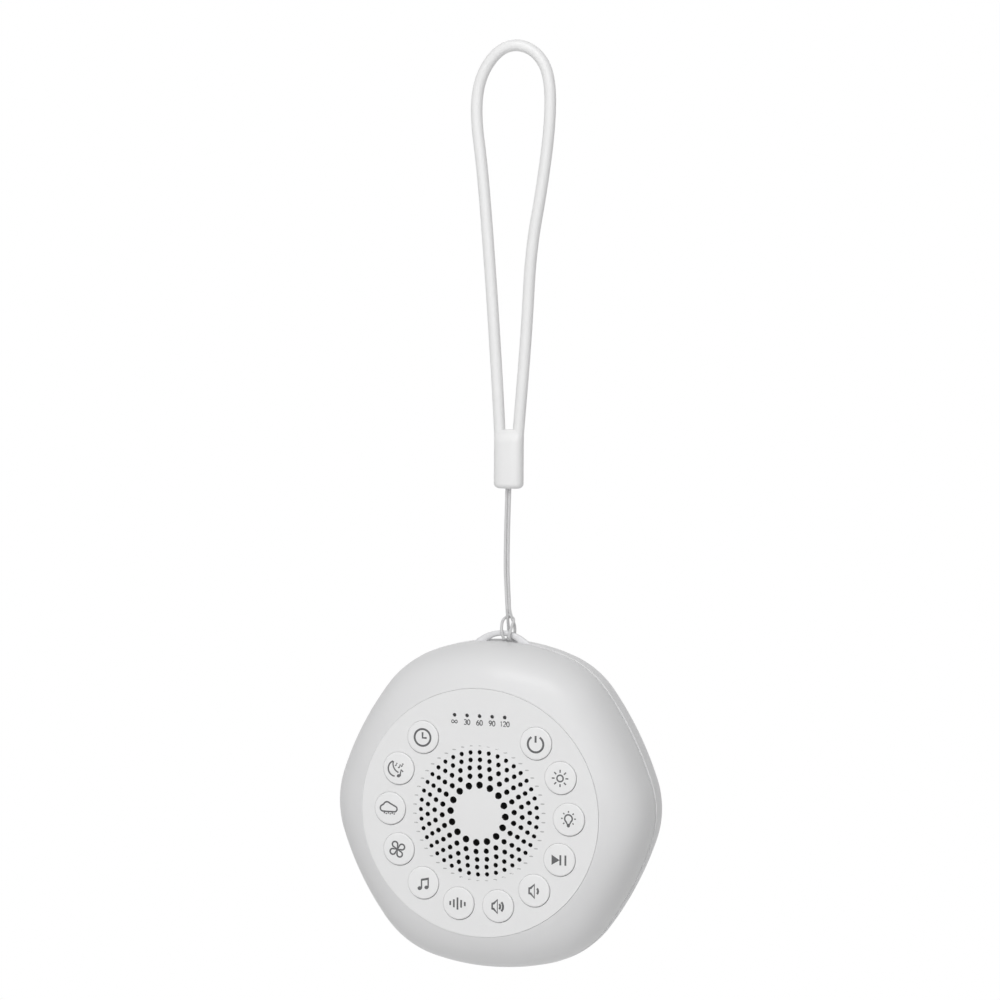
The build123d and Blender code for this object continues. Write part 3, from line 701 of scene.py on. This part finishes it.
def light_places():
    for index in range(LIGHT_COUNT):
        yield (index - (LIGHT_COUNT - 1) / 2) * LIGHT_PITCH, LIGHT_ROW


def plate_holes():
    """Every hole of the plate, as x, z, radius and number of points."""
    holes = []
    for radius, count, diameter, turn in GRILLE_RINGS:
        for index in range(count):
            x, z = at_angle(radius, 90.0 - turn + index * 360.0 / count)
            holes.append((x, z, diameter / 2, SPOT_STEPS))
    holes += [(x, z, BUTTON_HOLE_R, BUTTON_STEPS) for _, (x, z) in button_places()]
    return holes + [(x, z, LIGHT_HOLE_R, SPOT_STEPS) for x, z in light_places()]


def guide_points(holes):
    """Points inside the plate that keep clear of its holes."""
    points = []
    for ring in range(1, GUIDE_RINGS + 1):
        for px, pz in circle(0.0, 0.0, ring * GUIDE_PITCH, GUIDE_FIRST + GUIDE_MORE * ring):
            if all(
                math.hypot(px - x, pz - z) > radius + HOLE_ROUND + HOLE_CLEAR
                for x, z, radius, _ in holes
            ):
                points.append((px, pz))
    return points


def in_hole(point, holes):
    """Whether a point lies in one of the holes, within the flats between its points."""
    return any(
        math.hypot(point.x - x, point.y - z) < (radius + HOLE_ROUND) * math.cos(math.pi / steps)
        for x, z, radius, steps in holes
    )


def hang_walls(vertices, faces, edge, rings):
    """Walls from an edge, given as vertex numbers, down through rings of points and a depth."""
    above = edge
    for points, depth in rings:
        below = list(range(len(vertices), len(vertices) + len(points)))
        vertices += [case(x, depth, z) for x, z in points]
        faces += wall_faces(above, below)
        above = below


def plate_skin():
    """Round plate with a smooth dome and true round holes, their edges lightly broken."""
    holes = plate_holes()
    rim = PLATE_R - PLATE_EDGE_ROUND
    loops = [circle(0.0, 0.0, rim, PLATE_STEPS)]
    loops += [circle(x, z, radius + HOLE_ROUND, steps) for x, z, radius, steps in holes]
    points = []
    edges = []
    spans = []
    for loop in loops:
        span = list(range(len(points), len(points) + len(loop)))
        points += loop
        spans.append(span)
        edges += zip(span, span[1:] + span[:1])
    points += guide_points(holes)
    flat, _, triangles, origins, _, _ = delaunay_2d_cdt(
        [Vector(point) for point in points], edges, [], 0, 1e-6
    )
    made_of = {source: number for number, sources in enumerate(origins) for source in sources}
    plate_edge, *hole_edges = [[made_of[number] for number in span] for span in spans]
    vertices = [case(point.x, plate_depth(point.x, point.y), point.y) for point in flat]
    faces = []
    for triangle in triangles:
        middle = sum((flat[number] for number in triangle), Vector((0.0, 0.0))) / len(triangle)
        if middle.length < rim and not in_hole(middle, holes):
            faces.append(tuple(triangle))
    for edge, (x, z, radius, steps) in zip(hole_edges, holes):
        wall = circle(x, z, radius, steps)
        sinks = (HOLE_ROUND, PLATE_BACK - PLATE_FACE)
        rings = [(wall, plate_depth(x, z) + sink) for sink in sinks]
        hang_walls(vertices, faces, edge, rings)
    bevel = PLATE_EDGE_ROUND * PLATE_EDGE_SHARE
    rings = (
        (circle(0.0, 0.0, PLATE_R - bevel, PLATE_STEPS), PLATE_FACE + bevel),
        (circle(0.0, 0.0, PLATE_R, PLATE_STEPS), PLATE_FACE + PLATE_EDGE_ROUND),
        (circle(0.0, 0.0, PLATE_R, PLATE_STEPS), PLATE_BACK),
    )
    hang_walls(vertices, faces, plate_edge, rings)
    return finish_shading(mesh_object("face_plate_skin", vertices, faces), PLATE_SMOOTH_ANGLE)


def paint_grille_hole_shade(plate):
    """Walls of the grille's holes painted near black: painted shade that darkens the holes through
    to the black cloth behind.
    """
    plate.data.materials.append(MATERIALS["hole"])
    for polygon in plate.data.polygons:
        middle = (polygon.center - ORIGIN) / MM
        if abs(polygon.normal.y) < HOLE_WALL_LEAN and math.hypot(middle.x, middle.z) < GRILLE_R:
            polygon.material_index = 1
    return plate


def edge_marks():
    """The faint moulded dashes round the edge of the grille, as flat grey spots laid on the plate;
    their grey is painted shade standing in for the dashes' shallow hollows.
    """
    vertices = []
    faces = []
    for index in range(MARK_COUNT):
        cx, cz = at_angle(MARK_RING_R, 90.0 - MARK_TURN + index * 360.0 / MARK_COUNT)
        start = len(vertices)
        for along, across in circle(0.0, 0.0, 1.0, MARK_STEPS):
            x, z = cx + MARK_W / 2 * along, cz + MARK_H / 2 * across
            vertices.append(case(x, plate_depth(x, z) - MARK_LIFT, z))
        faces.append(tuple(range(start, len(vertices))))
    return finish_shading(mesh_object("grille_edge_marks", vertices, faces))


# ---- buttons and light guide ----
def button_skin(name, x, z):
    """Cap with a softly rounded rim and a hint of a crown, its flange and its stem."""
    top = PLATE_FACE - BUTTON_PROUD
    flange = PLATE_BACK + FLANGE_GAP
    radius = BUTTON_HOLE_R - BUTTON_GAP
    profile = [(inner, top - BUTTON_CROWN * share) for inner, share in CROWN_PROFILE]
    for sine, cosine in quarter_turn(CAP_STEPS):
        profile.append((radius - BUTTON_ROUND * (1 - sine), top + BUTTON_ROUND * (1 - cosine)))
    profile += [
        (radius, flange),
        (FLANGE_R, flange),
        (FLANGE_R, flange + FLANGE_T),
        (STEM_R, flange + FLANGE_T),
        (STEM_R, STEM_END),
    ]
    x, z = x + BUTTON_SHIFT[0], z + BUTTON_SHIFT[1]
    return finish_shading(lathe("button_" + name + "_skin", profile, x, z, BUTTON_STEPS))


def light_guide_skin():
    """Smoked bar with a round-ended peg behind every light hole."""
    side = LIGHT_HOLE_R - PEG_GAP
    profile = [(radius, PLATE_FACE + depth) for radius, depth in PEG_TIP]
    profile += [(side, PLATE_FACE + PEG_SHOULDER), (side, PLATE_BACK)]
    pegs = [lathe("peg", profile, x, z, PEG_STEPS) for x, z in light_places()]
    low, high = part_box("indicator_light_guide")
    low = Vector((low.x, case(0, PLATE_BACK, 0).y, low.z))
    bar = box_object("bar", (low + high) / 2, high - low, GUIDE_BAR_BEVEL * MM)
    return finish_shading(joined("light_guide_skin", pegs + [bar]))


# ---- drawing ----
def stroke(points, width, closed=False):
    """A printed line through points of the icon's own plane, as a rounded ribbon."""
    curve = bpy.data.curves.new("stroke", "CURVE")
    curve.dimensions = "3D"
    curve.bevel_depth = width / 2 * ICON_WEIGHT
    curve.bevel_resolution = 2
    curve.use_fill_caps = True
    spline = curve.splines.new("POLY")
    spline.points.add(len(points) - 1)
    for place, (x, z) in zip(spline.points, points):
        place.co = (x, 0.0, z, 1.0)
    spline.use_cyclic_u = closed
    return baked(new_object("stroke", curve))


def filled(outline):
    """A filled printed shape with a thin edge."""
    rings = [[(x, side * ICON_DEPTH / 2, z) for x, z in outline] for side in (-1, 1)]
    return swept("spot", rings)


def dot(x, z, radius, squash, tilt=0.0):
    """A filled printed spot."""
    outline = []
    for dx, dz in circle(0.0, 0.0, radius, SPOT_STEPS):
        turned = Matrix.Rotation(math.radians(tilt), 2) @ Vector((dx, dz * squash))
        outline.append((x + turned.x, z + turned.y))
    return filled(outline)


def arc(cx, cz, radius, start, end, steps=24):
    points = []
    for step in range(steps + 1):
        dx, dz = at_angle(radius, start + (end - start) * step / steps)
        points.append((cx + dx, cz + dz))
    return points


def rays(angles, near, far, width, rise=0.0):
    """Short strokes pointing away from a place at a height over the icon's centre."""
    lines = []
    for angle in angles:
        ends = [at_angle(radius, angle) for radius in (near, far)]
        lines.append(stroke([(x, z + rise) for x, z in ends], width))
    return lines


def printed(name, objects, x, depth, z):
    """Strokes made in millimetres about their own centre, laid on a surface as thin ink."""
    icon = joined(name, objects)
    flatten = Matrix.Diagonal((MM, ICON_THICK / ICON_DEPTH * MM, MM, 1.0))
    icon.data.transform(Matrix.Translation(case(x, depth, z)) @ flatten)
    return finish_shading(icon)


# ---- icons, about a button's centre ----
def icon_timer():
    hands = stroke([(0, 1.5), (0, -0.1), (1.25, -0.1)], TIMER_LINE)
    return [stroke(circle(0, 0, 2.4, ROUND_STEPS), TIMER_LINE, True), hands]


def music_note(x, z, size):
    stem = [(x + dx * size, z + dz * size) for dx, dz in ((0.32, 0.0), (0.55, 1.3), (1.0, 0.9))]
    line = NOTE_LINE_SHARE * size + NOTE_LINE
    return [dot(x, z, 0.42 * size, 0.8, 20.0), stroke(stem, line)]


def icon_lullaby():
    outer = stroke(arc(-0.8, 0.0, 2.25, 110.0, 262.0, 28), STEM_LINE)
    inner = stroke(arc(0.95, 1.3, 2.55, 162.0, 250.0, 20), FINE_LINE)
    notes = music_note(0.1, -2.05, 1.35) + music_note(-0.8, 0.9, 0.55)
    return [outer, inner] + notes + music_note(0.15, 0.35, 0.65) + music_note(1.0, 0.75, 0.6)


def icon_rain():
    cloud = (
        arc(-2.0, 0.05, 0.9, 265.0, 118.0, 12)
        + arc(-0.8, 0.8, 1.1, 158.0, 45.0, 14)
        + arc(1.4, -0.05, 0.82, 68.0, -88.0, 12)
    )
    drops = []
    for index in range(6):
        x = -1.65 + 0.6 * index
        z = -1.45 if index % 2 else -1.25
        drops.append(stroke([(x + 0.06, z + 0.15), (x - 0.06, z - 0.22)], FINE_LINE))
    return [stroke(cloud, OUTER_LINE, True)] + drops


def icon_fan():
    blades = []
    for index in range(4):
        turn = Matrix.Rotation(math.radians(90.0 * index + 27.0), 2)
        blade = arc(0.0, 1.55, 0.82, -42.0, 222.0, 18) + [(0.0, 0.15)]
        points = [turn @ Vector(point) for point in blade]
        blades.append(stroke([(p.x - 0.35, p.y) for p in points], FAN_LINE, True))
    return blades


def icon_music():
    beam = filled([(-0.55, 0.6), (-0.55, 1.2), (1.8, 1.75), (1.8, 1.1)])
    heads = [dot(-0.95, -1.5, 0.66, 0.85, 15.0), dot(1.1, -1.15, 0.62, 0.85, 15.0)]
    ends = ((-0.4, -1.5, 1.0), (1.62, -1.15, 1.5))
    stems = [stroke([(x, low), (x, high)], STEM_LINE) for x, low, high in ends]
    return [beam] + stems + heads


def icon_noise():
    bars = []
    for index, half in enumerate((0.6, 1.15, 1.75, 1.1, 0.6)):
        x = (index - 2) * 1.1 - 0.2
        bars.append(stroke([(x, -half), (x, half)], BAR_LINE))
    return bars


def speaker_outline(shift):
    points = ((-1.55, -0.75), (-1.55, 0.7), (-1.1, 0.75), (0.0, 1.85), (0.0, -1.95), (-1.1, -0.75))
    return stroke([(x + shift, z) for x, z in points], SPEAKER_LINE, True)


def sound_wave(x, radius):
    return stroke(arc(x, 0.0, radius, 42.0, -42.0), WAVE_LINE)


def icon_volume_up():
    return [speaker_outline(-0.1), sound_wave(-0.35, 1.1), sound_wave(-0.35, 1.95)]


def icon_volume_down():
    return [speaker_outline(0.2), sound_wave(0.1, 1.2)]


def icon_play_pause():
    triangle = filled([(-2.2, -1.45), (-2.2, 1.45), (0.2, 0.0)])
    return [triangle] + [stroke([(x, -1.45), (x, 1.45)], PAUSE_LINE) for x in (0.4, 1.9)]


def icon_lamp():
    bulb = arc(0.0, 0.35, 1.12, -52.0, 232.0, 24) + [(-0.3, -1.3), (0.3, -1.3)]
    glow = rays(range(-45, 226, 45), 1.7, 2.2, GLOW_LINE, 0.35)
    return [stroke(bulb, OUTER_LINE, True), dot(0.0, -1.6, 0.48, 1.1)] + glow


def icon_brightness():
    sun = stroke(circle(0, 0, 0.92, FINE_STEPS), OUTER_LINE, True)
    return [sun] + rays(range(90, 450, 45), 1.6, 2.45, FINE_LINE)


def icon_power():
    ring = stroke(arc(0.0, -0.1, 2.3, 122.0, 418.0, 40), POWER_LINE)
    return [ring, stroke([(0, 0.35), (0, 2.25)], POWER_LINE)]


ICON_MAKERS = (  # in the order of the buttons round the plate
    icon_timer, icon_lullaby, icon_rain, icon_fan, icon_music, icon_noise,
    icon_volume_up, icon_volume_down, icon_play_pause, icon_lamp, icon_brightness, icon_power,
)
ICONS = {maker.__name__.removeprefix("icon_"): maker for maker in ICON_MAKERS}


# ---- labels ----
SIX = [
    (circle(0, 0.27, 0.27, 24), True),
    ([(0.17, 1.0), (-0.06, 0.82), (-0.22, 0.56), (-0.27, 0.28)], False),
]
DIGITS = {  # lines of each numeral, one unit high and standing on zero, and whether each closes
    "0": [([(0.28 * x, 0.5 + 0.5 * z) for x, z in circle(0, 0, 1.0, 28)], True)],
    "1": [([(-0.14, 0.82), (0.04, 1.0), (0.04, 0.0)], False)],
    "2": [(arc(0.0, 0.73, 0.27, 165.0, -38.0, 14) + [(-0.28, 0.0), (0.28, 0.0)], False)],
    "3": [
        (arc(0.0, 0.75, 0.25, 150.0, -90.0, 14), False),
        (arc(0.0, 0.26, 0.26, 90.0, -150.0, 14), False),
    ],
    "6": SIX,
    "9": [([(-x, 1.0 - z) for x, z in line], closed) for line, closed in SIX],
}


def infinity_sign():
    points = []
    for step in range(ARCH_STEPS):
        angle = 2 * math.pi * step / ARCH_STEPS
        scale = 1.0 / (1.0 + math.sin(angle) ** 2)
        x = INFINITY_REACH * math.cos(angle) * scale
        points.append((x, INFINITY_RISE * math.sin(angle) * math.cos(angle) * scale))
    return stroke(points, INFINITY_LINE, True)


def label(words, x):
    """A small printed number, its numerals drawn as lines, or the endless sign."""
    if words == "infinity":
        middle = LABEL_ROW + DIGIT_HEIGHT / 2
        return printed("label_infinity", [infinity_sign()], x, PLATE_FACE, middle)
    strokes = []
    for index, digit in enumerate(words):
        middle = (index - (len(words) - 1) / 2) * DIGIT_PITCH
        for line, closed in DIGITS[digit]:
            points = [(middle + px * DIGIT_HEIGHT, pz * DIGIT_HEIGHT) for px, pz in line]
            strokes.append(stroke(points, DIGIT_LINE, closed))
    return printed("label_" + words, strokes, x, PLATE_FACE, LABEL_ROW)


# ---- lanyard ----
def cord_curve(name, route, diameter):
    """A round cord on one smooth NURBS spline with the route's points as its control points."""
    curve = bpy.data.curves.new(name, "CURVE")
    curve.dimensions = "3D"
    curve.resolution_u = 16
    curve.bevel_depth = diameter / 2 * MM
    curve.bevel_resolution = 8
    curve.use_fill_caps = True
    spline = curve.splines.new("NURBS")
    spline.points.add(len(route) - 1)
    for place, point in zip(spline.points, route):
        place.co = (*(Vector(point) * MM), 1.0)
    spline.order_u = 3
    spline.use_endpoint_u = True
    return new_object(name, curve)


def loop_route():
    return [(x, 0.0, z) for x, z in LOOP_ROUTE]


def string_strand(side):
    """One half of the string, from the barrel to the back of the hitch, in the row frame."""
    bar = case(0, EYELET_DEPTH, bar_height()) / MM
    points = []
    for index, (x, y, z) in enumerate(STRING_ROUTE):
        shift = STRING_SHIFTS.get(index, (0.0, 0.0))[0 if side < 0 else 1]
        points.append((BARREL_X + side * x + shift, y, bar.z + z))
    return points


def route_length(points):
    """Length of the order-3 NURBS line through a route, read from a curve with no bevel."""
    bare = cord_curve("bare", points, 0.0)
    graph = bpy.context.evaluated_depsgraph_get()
    mesh = bpy.data.meshes.new_from_object(bare.evaluated_get(graph))
    ends = [[mesh.vertices[number].co for number in edge.vertices] for edge in mesh.edges]
    total = sum((first - second).length for first, second in ends)
    bpy.data.objects.remove(bare)
    return total


def barrel_skin():
    """Moulded barrel: soft flattened section, round foot, and a top thinned round the cord ends."""
    rows = []  # height, how much the section shrinks, how much its width then gets back
    for sine, cosine in quarter_turn(BARREL_STEPS):
        z = BARREL_BOTTOM + BARREL_FOOT_ROUND * (1 - cosine)
        rows.append((z, BARREL_FOOT_ROUND * (1 - sine), 0.0))
    rows.append((BARREL_BOTTOM + (BARREL_TOP - BARREL_BOTTOM) * 0.5, 0.0, 0.0))
    give_back = BARREL_THIN + BARREL_WIDEN
    for step in range(BARREL_STEPS + 1):
        share = step / BARREL_STEPS
        ease = share * share * (3 - 2 * share)
        z = BARREL_TOP - BARREL_FLARE * (1 - share) - BARREL_TOP_ROUND
        rows.append((z, BARREL_THIN * ease, give_back * ease))
    for sine, cosine in quarter_turn(EDGE_STEPS, 1):
        z = BARREL_TOP - BARREL_TOP_ROUND * (1 - sine)
        rows.append((z, BARREL_THIN + BARREL_TOP_ROUND * (1 - cosine), give_back))
    rings = []
    for z, shrink, widen in rows:
        ring = []
        for across, out in soft_ring(BARREL_SIDES, BARREL_POWER):
            x = BARREL_X + (BARREL_W / 2 - shrink + widen) * across
            ring.append(Vector((x, (BARREL_T / 2 - shrink) * out, z)) * MM)
        rings.append(ring)
    return finish_shading(swept("barrel_skin", rings))


# ---- materials ----
def material(name, colour, roughness, metallic=0.0, **sockets):
    made = bpy.data.materials.new(name)
    made.use_nodes = True
    shader = made.node_tree.nodes["Principled BSDF"]
    shader.inputs["Base Color"].default_value = (*colour, 1.0)
    shader.inputs["Roughness"].default_value = roughness
    shader.inputs["Metallic"].default_value = metallic
    for socket, value in sockets.items():
        shader.inputs[socket.replace("_", " ")].default_value = value
    return made


def add(tree, kind, **settings):
    """A new shader node; each setting goes to its input of that name, or to the node itself."""
    node = tree.nodes.new("ShaderNode" + kind)
    for key, value in settings.items():
        socket = key.replace("_", " ")
        if socket in node.inputs:
            node.inputs[socket].default_value = value
        else:
            setattr(node, key, value)
    return node


def wire(tree, *links):
    """Join sockets, each link naming a node and its output, then a node and its input."""
    for source, out, target, into in links:
        tree.links.new(source.outputs[out], target.inputs[into])


def textured(made, kind, **settings):
    """A material's tree and shader, and a new texture laid out over the object."""
    tree = made.node_tree
    texture = add(tree, kind, **settings)
    wire(tree, (add(tree, "TexCoord"), "Object", texture, "Vector"))
    return tree, tree.nodes["Principled BSDF"], texture


def colour_between(tree, shader, source, low, high, span):
    """Colour the surface from one colour to another by a texture's value."""
    ramp = add(tree, "ValToRGB")
    for stop, position, colour in zip(ramp.color_ramp.elements, span, (low, high)):
        stop.position = position
        stop.color = (*colour, 1.0)
    wire(tree, (source, "Fac", ramp, "Fac"), (ramp, "Color", shader, "Base Color"))


def raise_by(tree, shader, source, strength, height, out="Fac"):
    """Bump the surface by a node's output."""
    bump = add(tree, "Bump", Strength=strength, Distance=height)
    wire(tree, (source, out, bump, "Height"), (bump, "Normal", shader, "Normal"))


def tint(made, colour, spread):
    """Let the colour wander slightly over the surface."""
    tree, shader, noise = textured(made, "TexNoise", Scale=60.0, Detail=3.0)
    low = [max(0.0, value - spread) for value in colour]
    high = [min(1.0, value + spread) for value in colour]
    colour_between(tree, shader, noise, low, high, (0.3, 0.7))


def grain(made, scale, height, low_rough, high_rough):
    """Fine moulded texture: a bump in the surface and a matching change of gloss."""
    tree, shader, noise = textured(made, "TexNoise", Scale=scale, Detail=4.0, Roughness=0.6)
    raise_by(tree, shader, noise, 0.5, height)
    gloss = add(tree, "MapRange", To_Min=low_rough, To_Max=high_rough)
    wire(tree, (noise, "Fac", gloss, "Value"), (gloss, "Result", shader, "Roughness"))


def moulded(name, colour, roughness, scale=2500.0, height=0.00002, spread=0.006, **sockets):
    """Plastic or the like, with the scale and height of its grain and the spread of its colour."""
    made = material(name, colour, roughness, **sockets)
    tint(made, colour, spread)
    grain(made, scale, height, roughness - 0.05, roughness + 0.05)
    return made


def metal(name, colour, roughness):
    made = material(name, colour, roughness, metallic=1.0)
    grain(made, 900.0, 0.00001, roughness - 0.06, roughness + 0.08)
    return made


def braided(name, colour):
    """Thin twisted string: slanted ridges along the cord, with painted shade darkening the grooves
    between them.
    """
    made = material(name, colour, 0.55, Sheen_Weight=0.3)
    tree, shader, wave = textured(
        made, "TexWave", Scale=900.0, Distortion=2.0, Detail=2.0, bands_direction="DIAGONAL"
    )
    # painted shade: the wave that sets the ridges' height also darkens the grooves
    colour_between(tree, shader, wave, [value * 0.72 for value in colour], colour, (0.0, 1.0))
    raise_by(tree, shader, wave, 0.7, 0.00008)
    return made


def woven(name, colour, scale):
    """Fine cloth: two crossing sets of threads."""
    made = material(name, colour, 0.9)
    mix = add(made.node_tree, "Math", operation="MAXIMUM")
    for index, direction in enumerate(("X", "Z")):
        tree, shader, wave = textured(made, "TexWave", Scale=scale, bands_direction=direction)
        wire(tree, (wave, "Fac", mix, index))
    raise_by(tree, shader, mix, 0.6, 0.00005, "Value")
    return made


MATERIALS = {
    "shell": moulded(
        "shell_plastic", (0.67, 0.67, 0.674), 0.42,
        Specular_IOR_Level=0.28, Coat_Weight=0.12, Coat_Roughness=0.2,
    ),
    "plate": moulded(
        "plate_plastic", (0.72, 0.72, 0.722), 0.5, 3200.0, 0.000015, Specular_IOR_Level=0.3
    ),
    "buttons": moulded(
        "button_plastic", (0.74, 0.74, 0.742), 0.46, 3200.0, 0.000012,
        Specular_IOR_Level=0.3, Coat_Weight=0.25, Coat_Roughness=0.2,
    ),
    "ink": moulded("printed_ink", (0.1, 0.1, 0.104), 0.6, 4000.0, 0.00001, 0.004),
    # grey of the dashes round the grille: painted shade of their hollows
    "mark": moulded("painted_mark_shade", (0.4, 0.4, 0.4), 0.6, 4000.0, 0.00001, 0.01),
    # near black for the walls of the grille's holes: painted shade, not the plastic's own colour
    "hole": moulded("painted_hole_shade", (0.004, 0.004, 0.004), 0.9, 4000.0, 0.00001, 0.001),
    "smoked": moulded("smoked_plastic", (0.006, 0.006, 0.007), 0.25, 1500.0, 0.00001, 0.001),
    "cloth": woven("acoustic_cloth", (0.004, 0.004, 0.004), 1500.0),
    "eyelet": moulded("eyelet_plastic", (0.68, 0.68, 0.69), 0.3, 2500.0, 0.00001),
    "silicone": moulded(
        "silicone", (0.74, 0.74, 0.74), 0.42, 1800.0, 0.00002, 0.008, Sheen_Weight=0.1
    ),
    "string": braided("string", (0.66, 0.66, 0.665)),
    "barrel": moulded("barrel_plastic", (0.74, 0.74, 0.74), 0.34, 2200.0, 0.000015),
    "screw": metal("screw_steel", (0.45, 0.45, 0.47), 0.32),
    "socket": metal("socket_steel", (0.55, 0.55, 0.57), 0.3),
    "basket": metal("basket_metal", (0.3, 0.31, 0.33), 0.45),
    "magnet": metal("magnet_plate", (0.5, 0.51, 0.53), 0.35),
    "foil": metal("cell_foil", (0.62, 0.63, 0.65), 0.4),
    "cone_paper": moulded("cone_paper", (0.02, 0.02, 0.02), 0.85, 700.0, 0.00006),
    "board": moulded("board_laminate", (0.01, 0.09, 0.035), 0.4, 900.0, 0.00001, 0.005),
    "switch": moulded("switch_body", (0.02, 0.02, 0.02), 0.5, 2000.0, 0.00001, 0.002),
    "chip": moulded("light_chip", (0.75, 0.7, 0.4), 0.3, 2000.0, 0.00001),
    "foam": moulded("foam", (0.03, 0.03, 0.03), 0.95, 600.0, 0.0002),
}


def dress(obj, slot, body, *nodes):
    """Give a piece its material, its body, and the CAD nodes that it stands for."""
    obj.data.materials.clear()
    obj.data.materials.append(MATERIALS[slot])
    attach(obj, body)
    if nodes:
        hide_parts(*nodes)
    return obj


def dress_cad_nodes():
    """Real materials on the CAD nodes that stay as they are."""
    slots = {part["node"]: part["material_slot"] for part in frame["record"]["subparts"]}
    for node, obj in frame["nodes"].items():
        obj.data.materials.clear()
        obj.data.materials.append(MATERIALS[slots[node]])


# ---- stage, light, camera ----
def white_to_camera(tree, shader, output):
    """White where the camera, a gloss or a glass looks at it; the plain shader for other rays."""
    path = add(tree, "LightPath")
    first = add(tree, "Math", operation="MAXIMUM")
    second = add(tree, "Math", operation="MAXIMUM")
    glow = add(tree, "Emission", Strength=1.0)
    mix = add(tree, "MixShader")
    wire(
        tree,
        (path, "Is Camera Ray", first, 0),
        (path, "Is Glossy Ray", first, 1),
        (first, "Value", second, 0),
        (path, "Is Transmission Ray", second, 1),
        (second, "Value", mix, "Fac"),
        (tree.nodes[shader], 0, mix, 1),
        (glow, "Emission", mix, 2),
        (mix, "Shader", tree.nodes[output], "Surface"),
    )


def build_stage():
    signs = ((-1, -1), (1, -1), (1, 1), (-1, 1))
    corners = [(FLOOR_HALF * x, FLOOR_HALF * y, FLOOR_Z) for x, y in signs]
    floor = mesh_object("floor", corners, [(0, 1, 2, 3)])
    paper = material("floor_paper", (FLOOR_GREY,) * 3, 0.9)
    white_to_camera(paper.node_tree, "Principled BSDF", "Material Output")
    floor.data.materials.append(paper)

    world = bpy.data.worlds.new("studio")
    bpy.context.scene.world = world
    world.use_nodes = True
    dim = world.node_tree.nodes["Background"]
    dim.inputs["Color"].default_value = (WORLD_GREY, WORLD_GREY, WORLD_GREY, 1.0)
    dim.inputs["Strength"].default_value = WORLD_STRENGTH
    white_to_camera(world.node_tree, "Background", "World Output")


def build_lights():
    for name, (place, width, height, power) in LAMPS.items():
        light = bpy.data.lights.new(name, "AREA")
        light.shape = "RECTANGLE"
        light.size = width
        light.size_y = height
        light.energy = power
        obj = new_object(name, light)
        obj.location = place
        aim = Vector(LAMP_AIM) - Vector(place)
        obj.rotation_euler = aim.to_track_quat("-Z", "Y").to_euler()
        obj.visible_camera = False
        # the back lamp lies behind the outline, where every edge would mirror it
        obj.visible_glossy = name != "back"


def build_camera():
    camera = bpy.data.cameras.new("camera")
    camera.lens = CAMERA_LENS
    camera.sensor_width = SENSOR
    camera.sensor_fit = "HORIZONTAL"
    camera.clip_end = CLIP_END
    back = -Vector(CAMERA_FORWARD).normalized()
    right = Vector(CAMERA_UP).cross(back).normalized()
    up = back.cross(right)
    turn = Matrix((right, up, back)).transposed().to_4x4()
    obj = new_object("camera", camera)
    obj.matrix_world = Matrix.Translation(Vector(CAMERA_PLACE) * MM) @ turn
    bpy.context.scene.camera = obj


# ---- the whole ----
def build_lanyard():
    barrel = dress(barrel_skin(), "barrel", "lanyard", "lanyard_barrel")
    loop = cord_curve("loop_cord", loop_route(), LOOP_D)
    dress(loop, "silicone", "lanyard", "lanyard_loop")
    route_length(loop_route())
    route = string_strand(1) + string_strand(-1)[::-1]
    string = cord_curve("string_cord", route, STRING_D)
    dress(string, "string", "lanyard", "lanyard_string")
    route_length(route)


def build_case():
    dress(front_skin(), "shell", "housing", "front_shell")
    dress(rear_skin(), "shell", "housing", "rear_shell")
    dress(screw_tubes(), "shell", "housing")
    paint_grille_hole_shade(dress(plate_skin(), "plate", "housing", "face_plate"))
    dress(edge_marks(), "mark", "housing")
    dress(light_guide_skin(), "smoked", "housing", "indicator_light_guide")
    dress(screw_skin(), "screw", "housing", "housing_screws")
    dress(eyelet_skin(), "eyelet", "housing", "lanyard_eyelet")
    for words, (x, _) in zip(LABELS, light_places()):
        dress(label(words, x), "ink", "housing")


def build_buttons():
    top = PLATE_FACE - BUTTON_PROUD - BUTTON_CROWN
    for name, (x, z) in button_places():
        node = "button_" + name
        dress(button_skin(name, x, z), "buttons", node, node)
        dress(printed("icon_" + name, ICONS[name](), x, top, z), "ink", node)


build_camera()
build_stage()
build_lights()
dress_cad_nodes()
build_lanyard()
build_case()
build_buttons()
bpy.context.scene.view_settings.view_transform = "Standard"
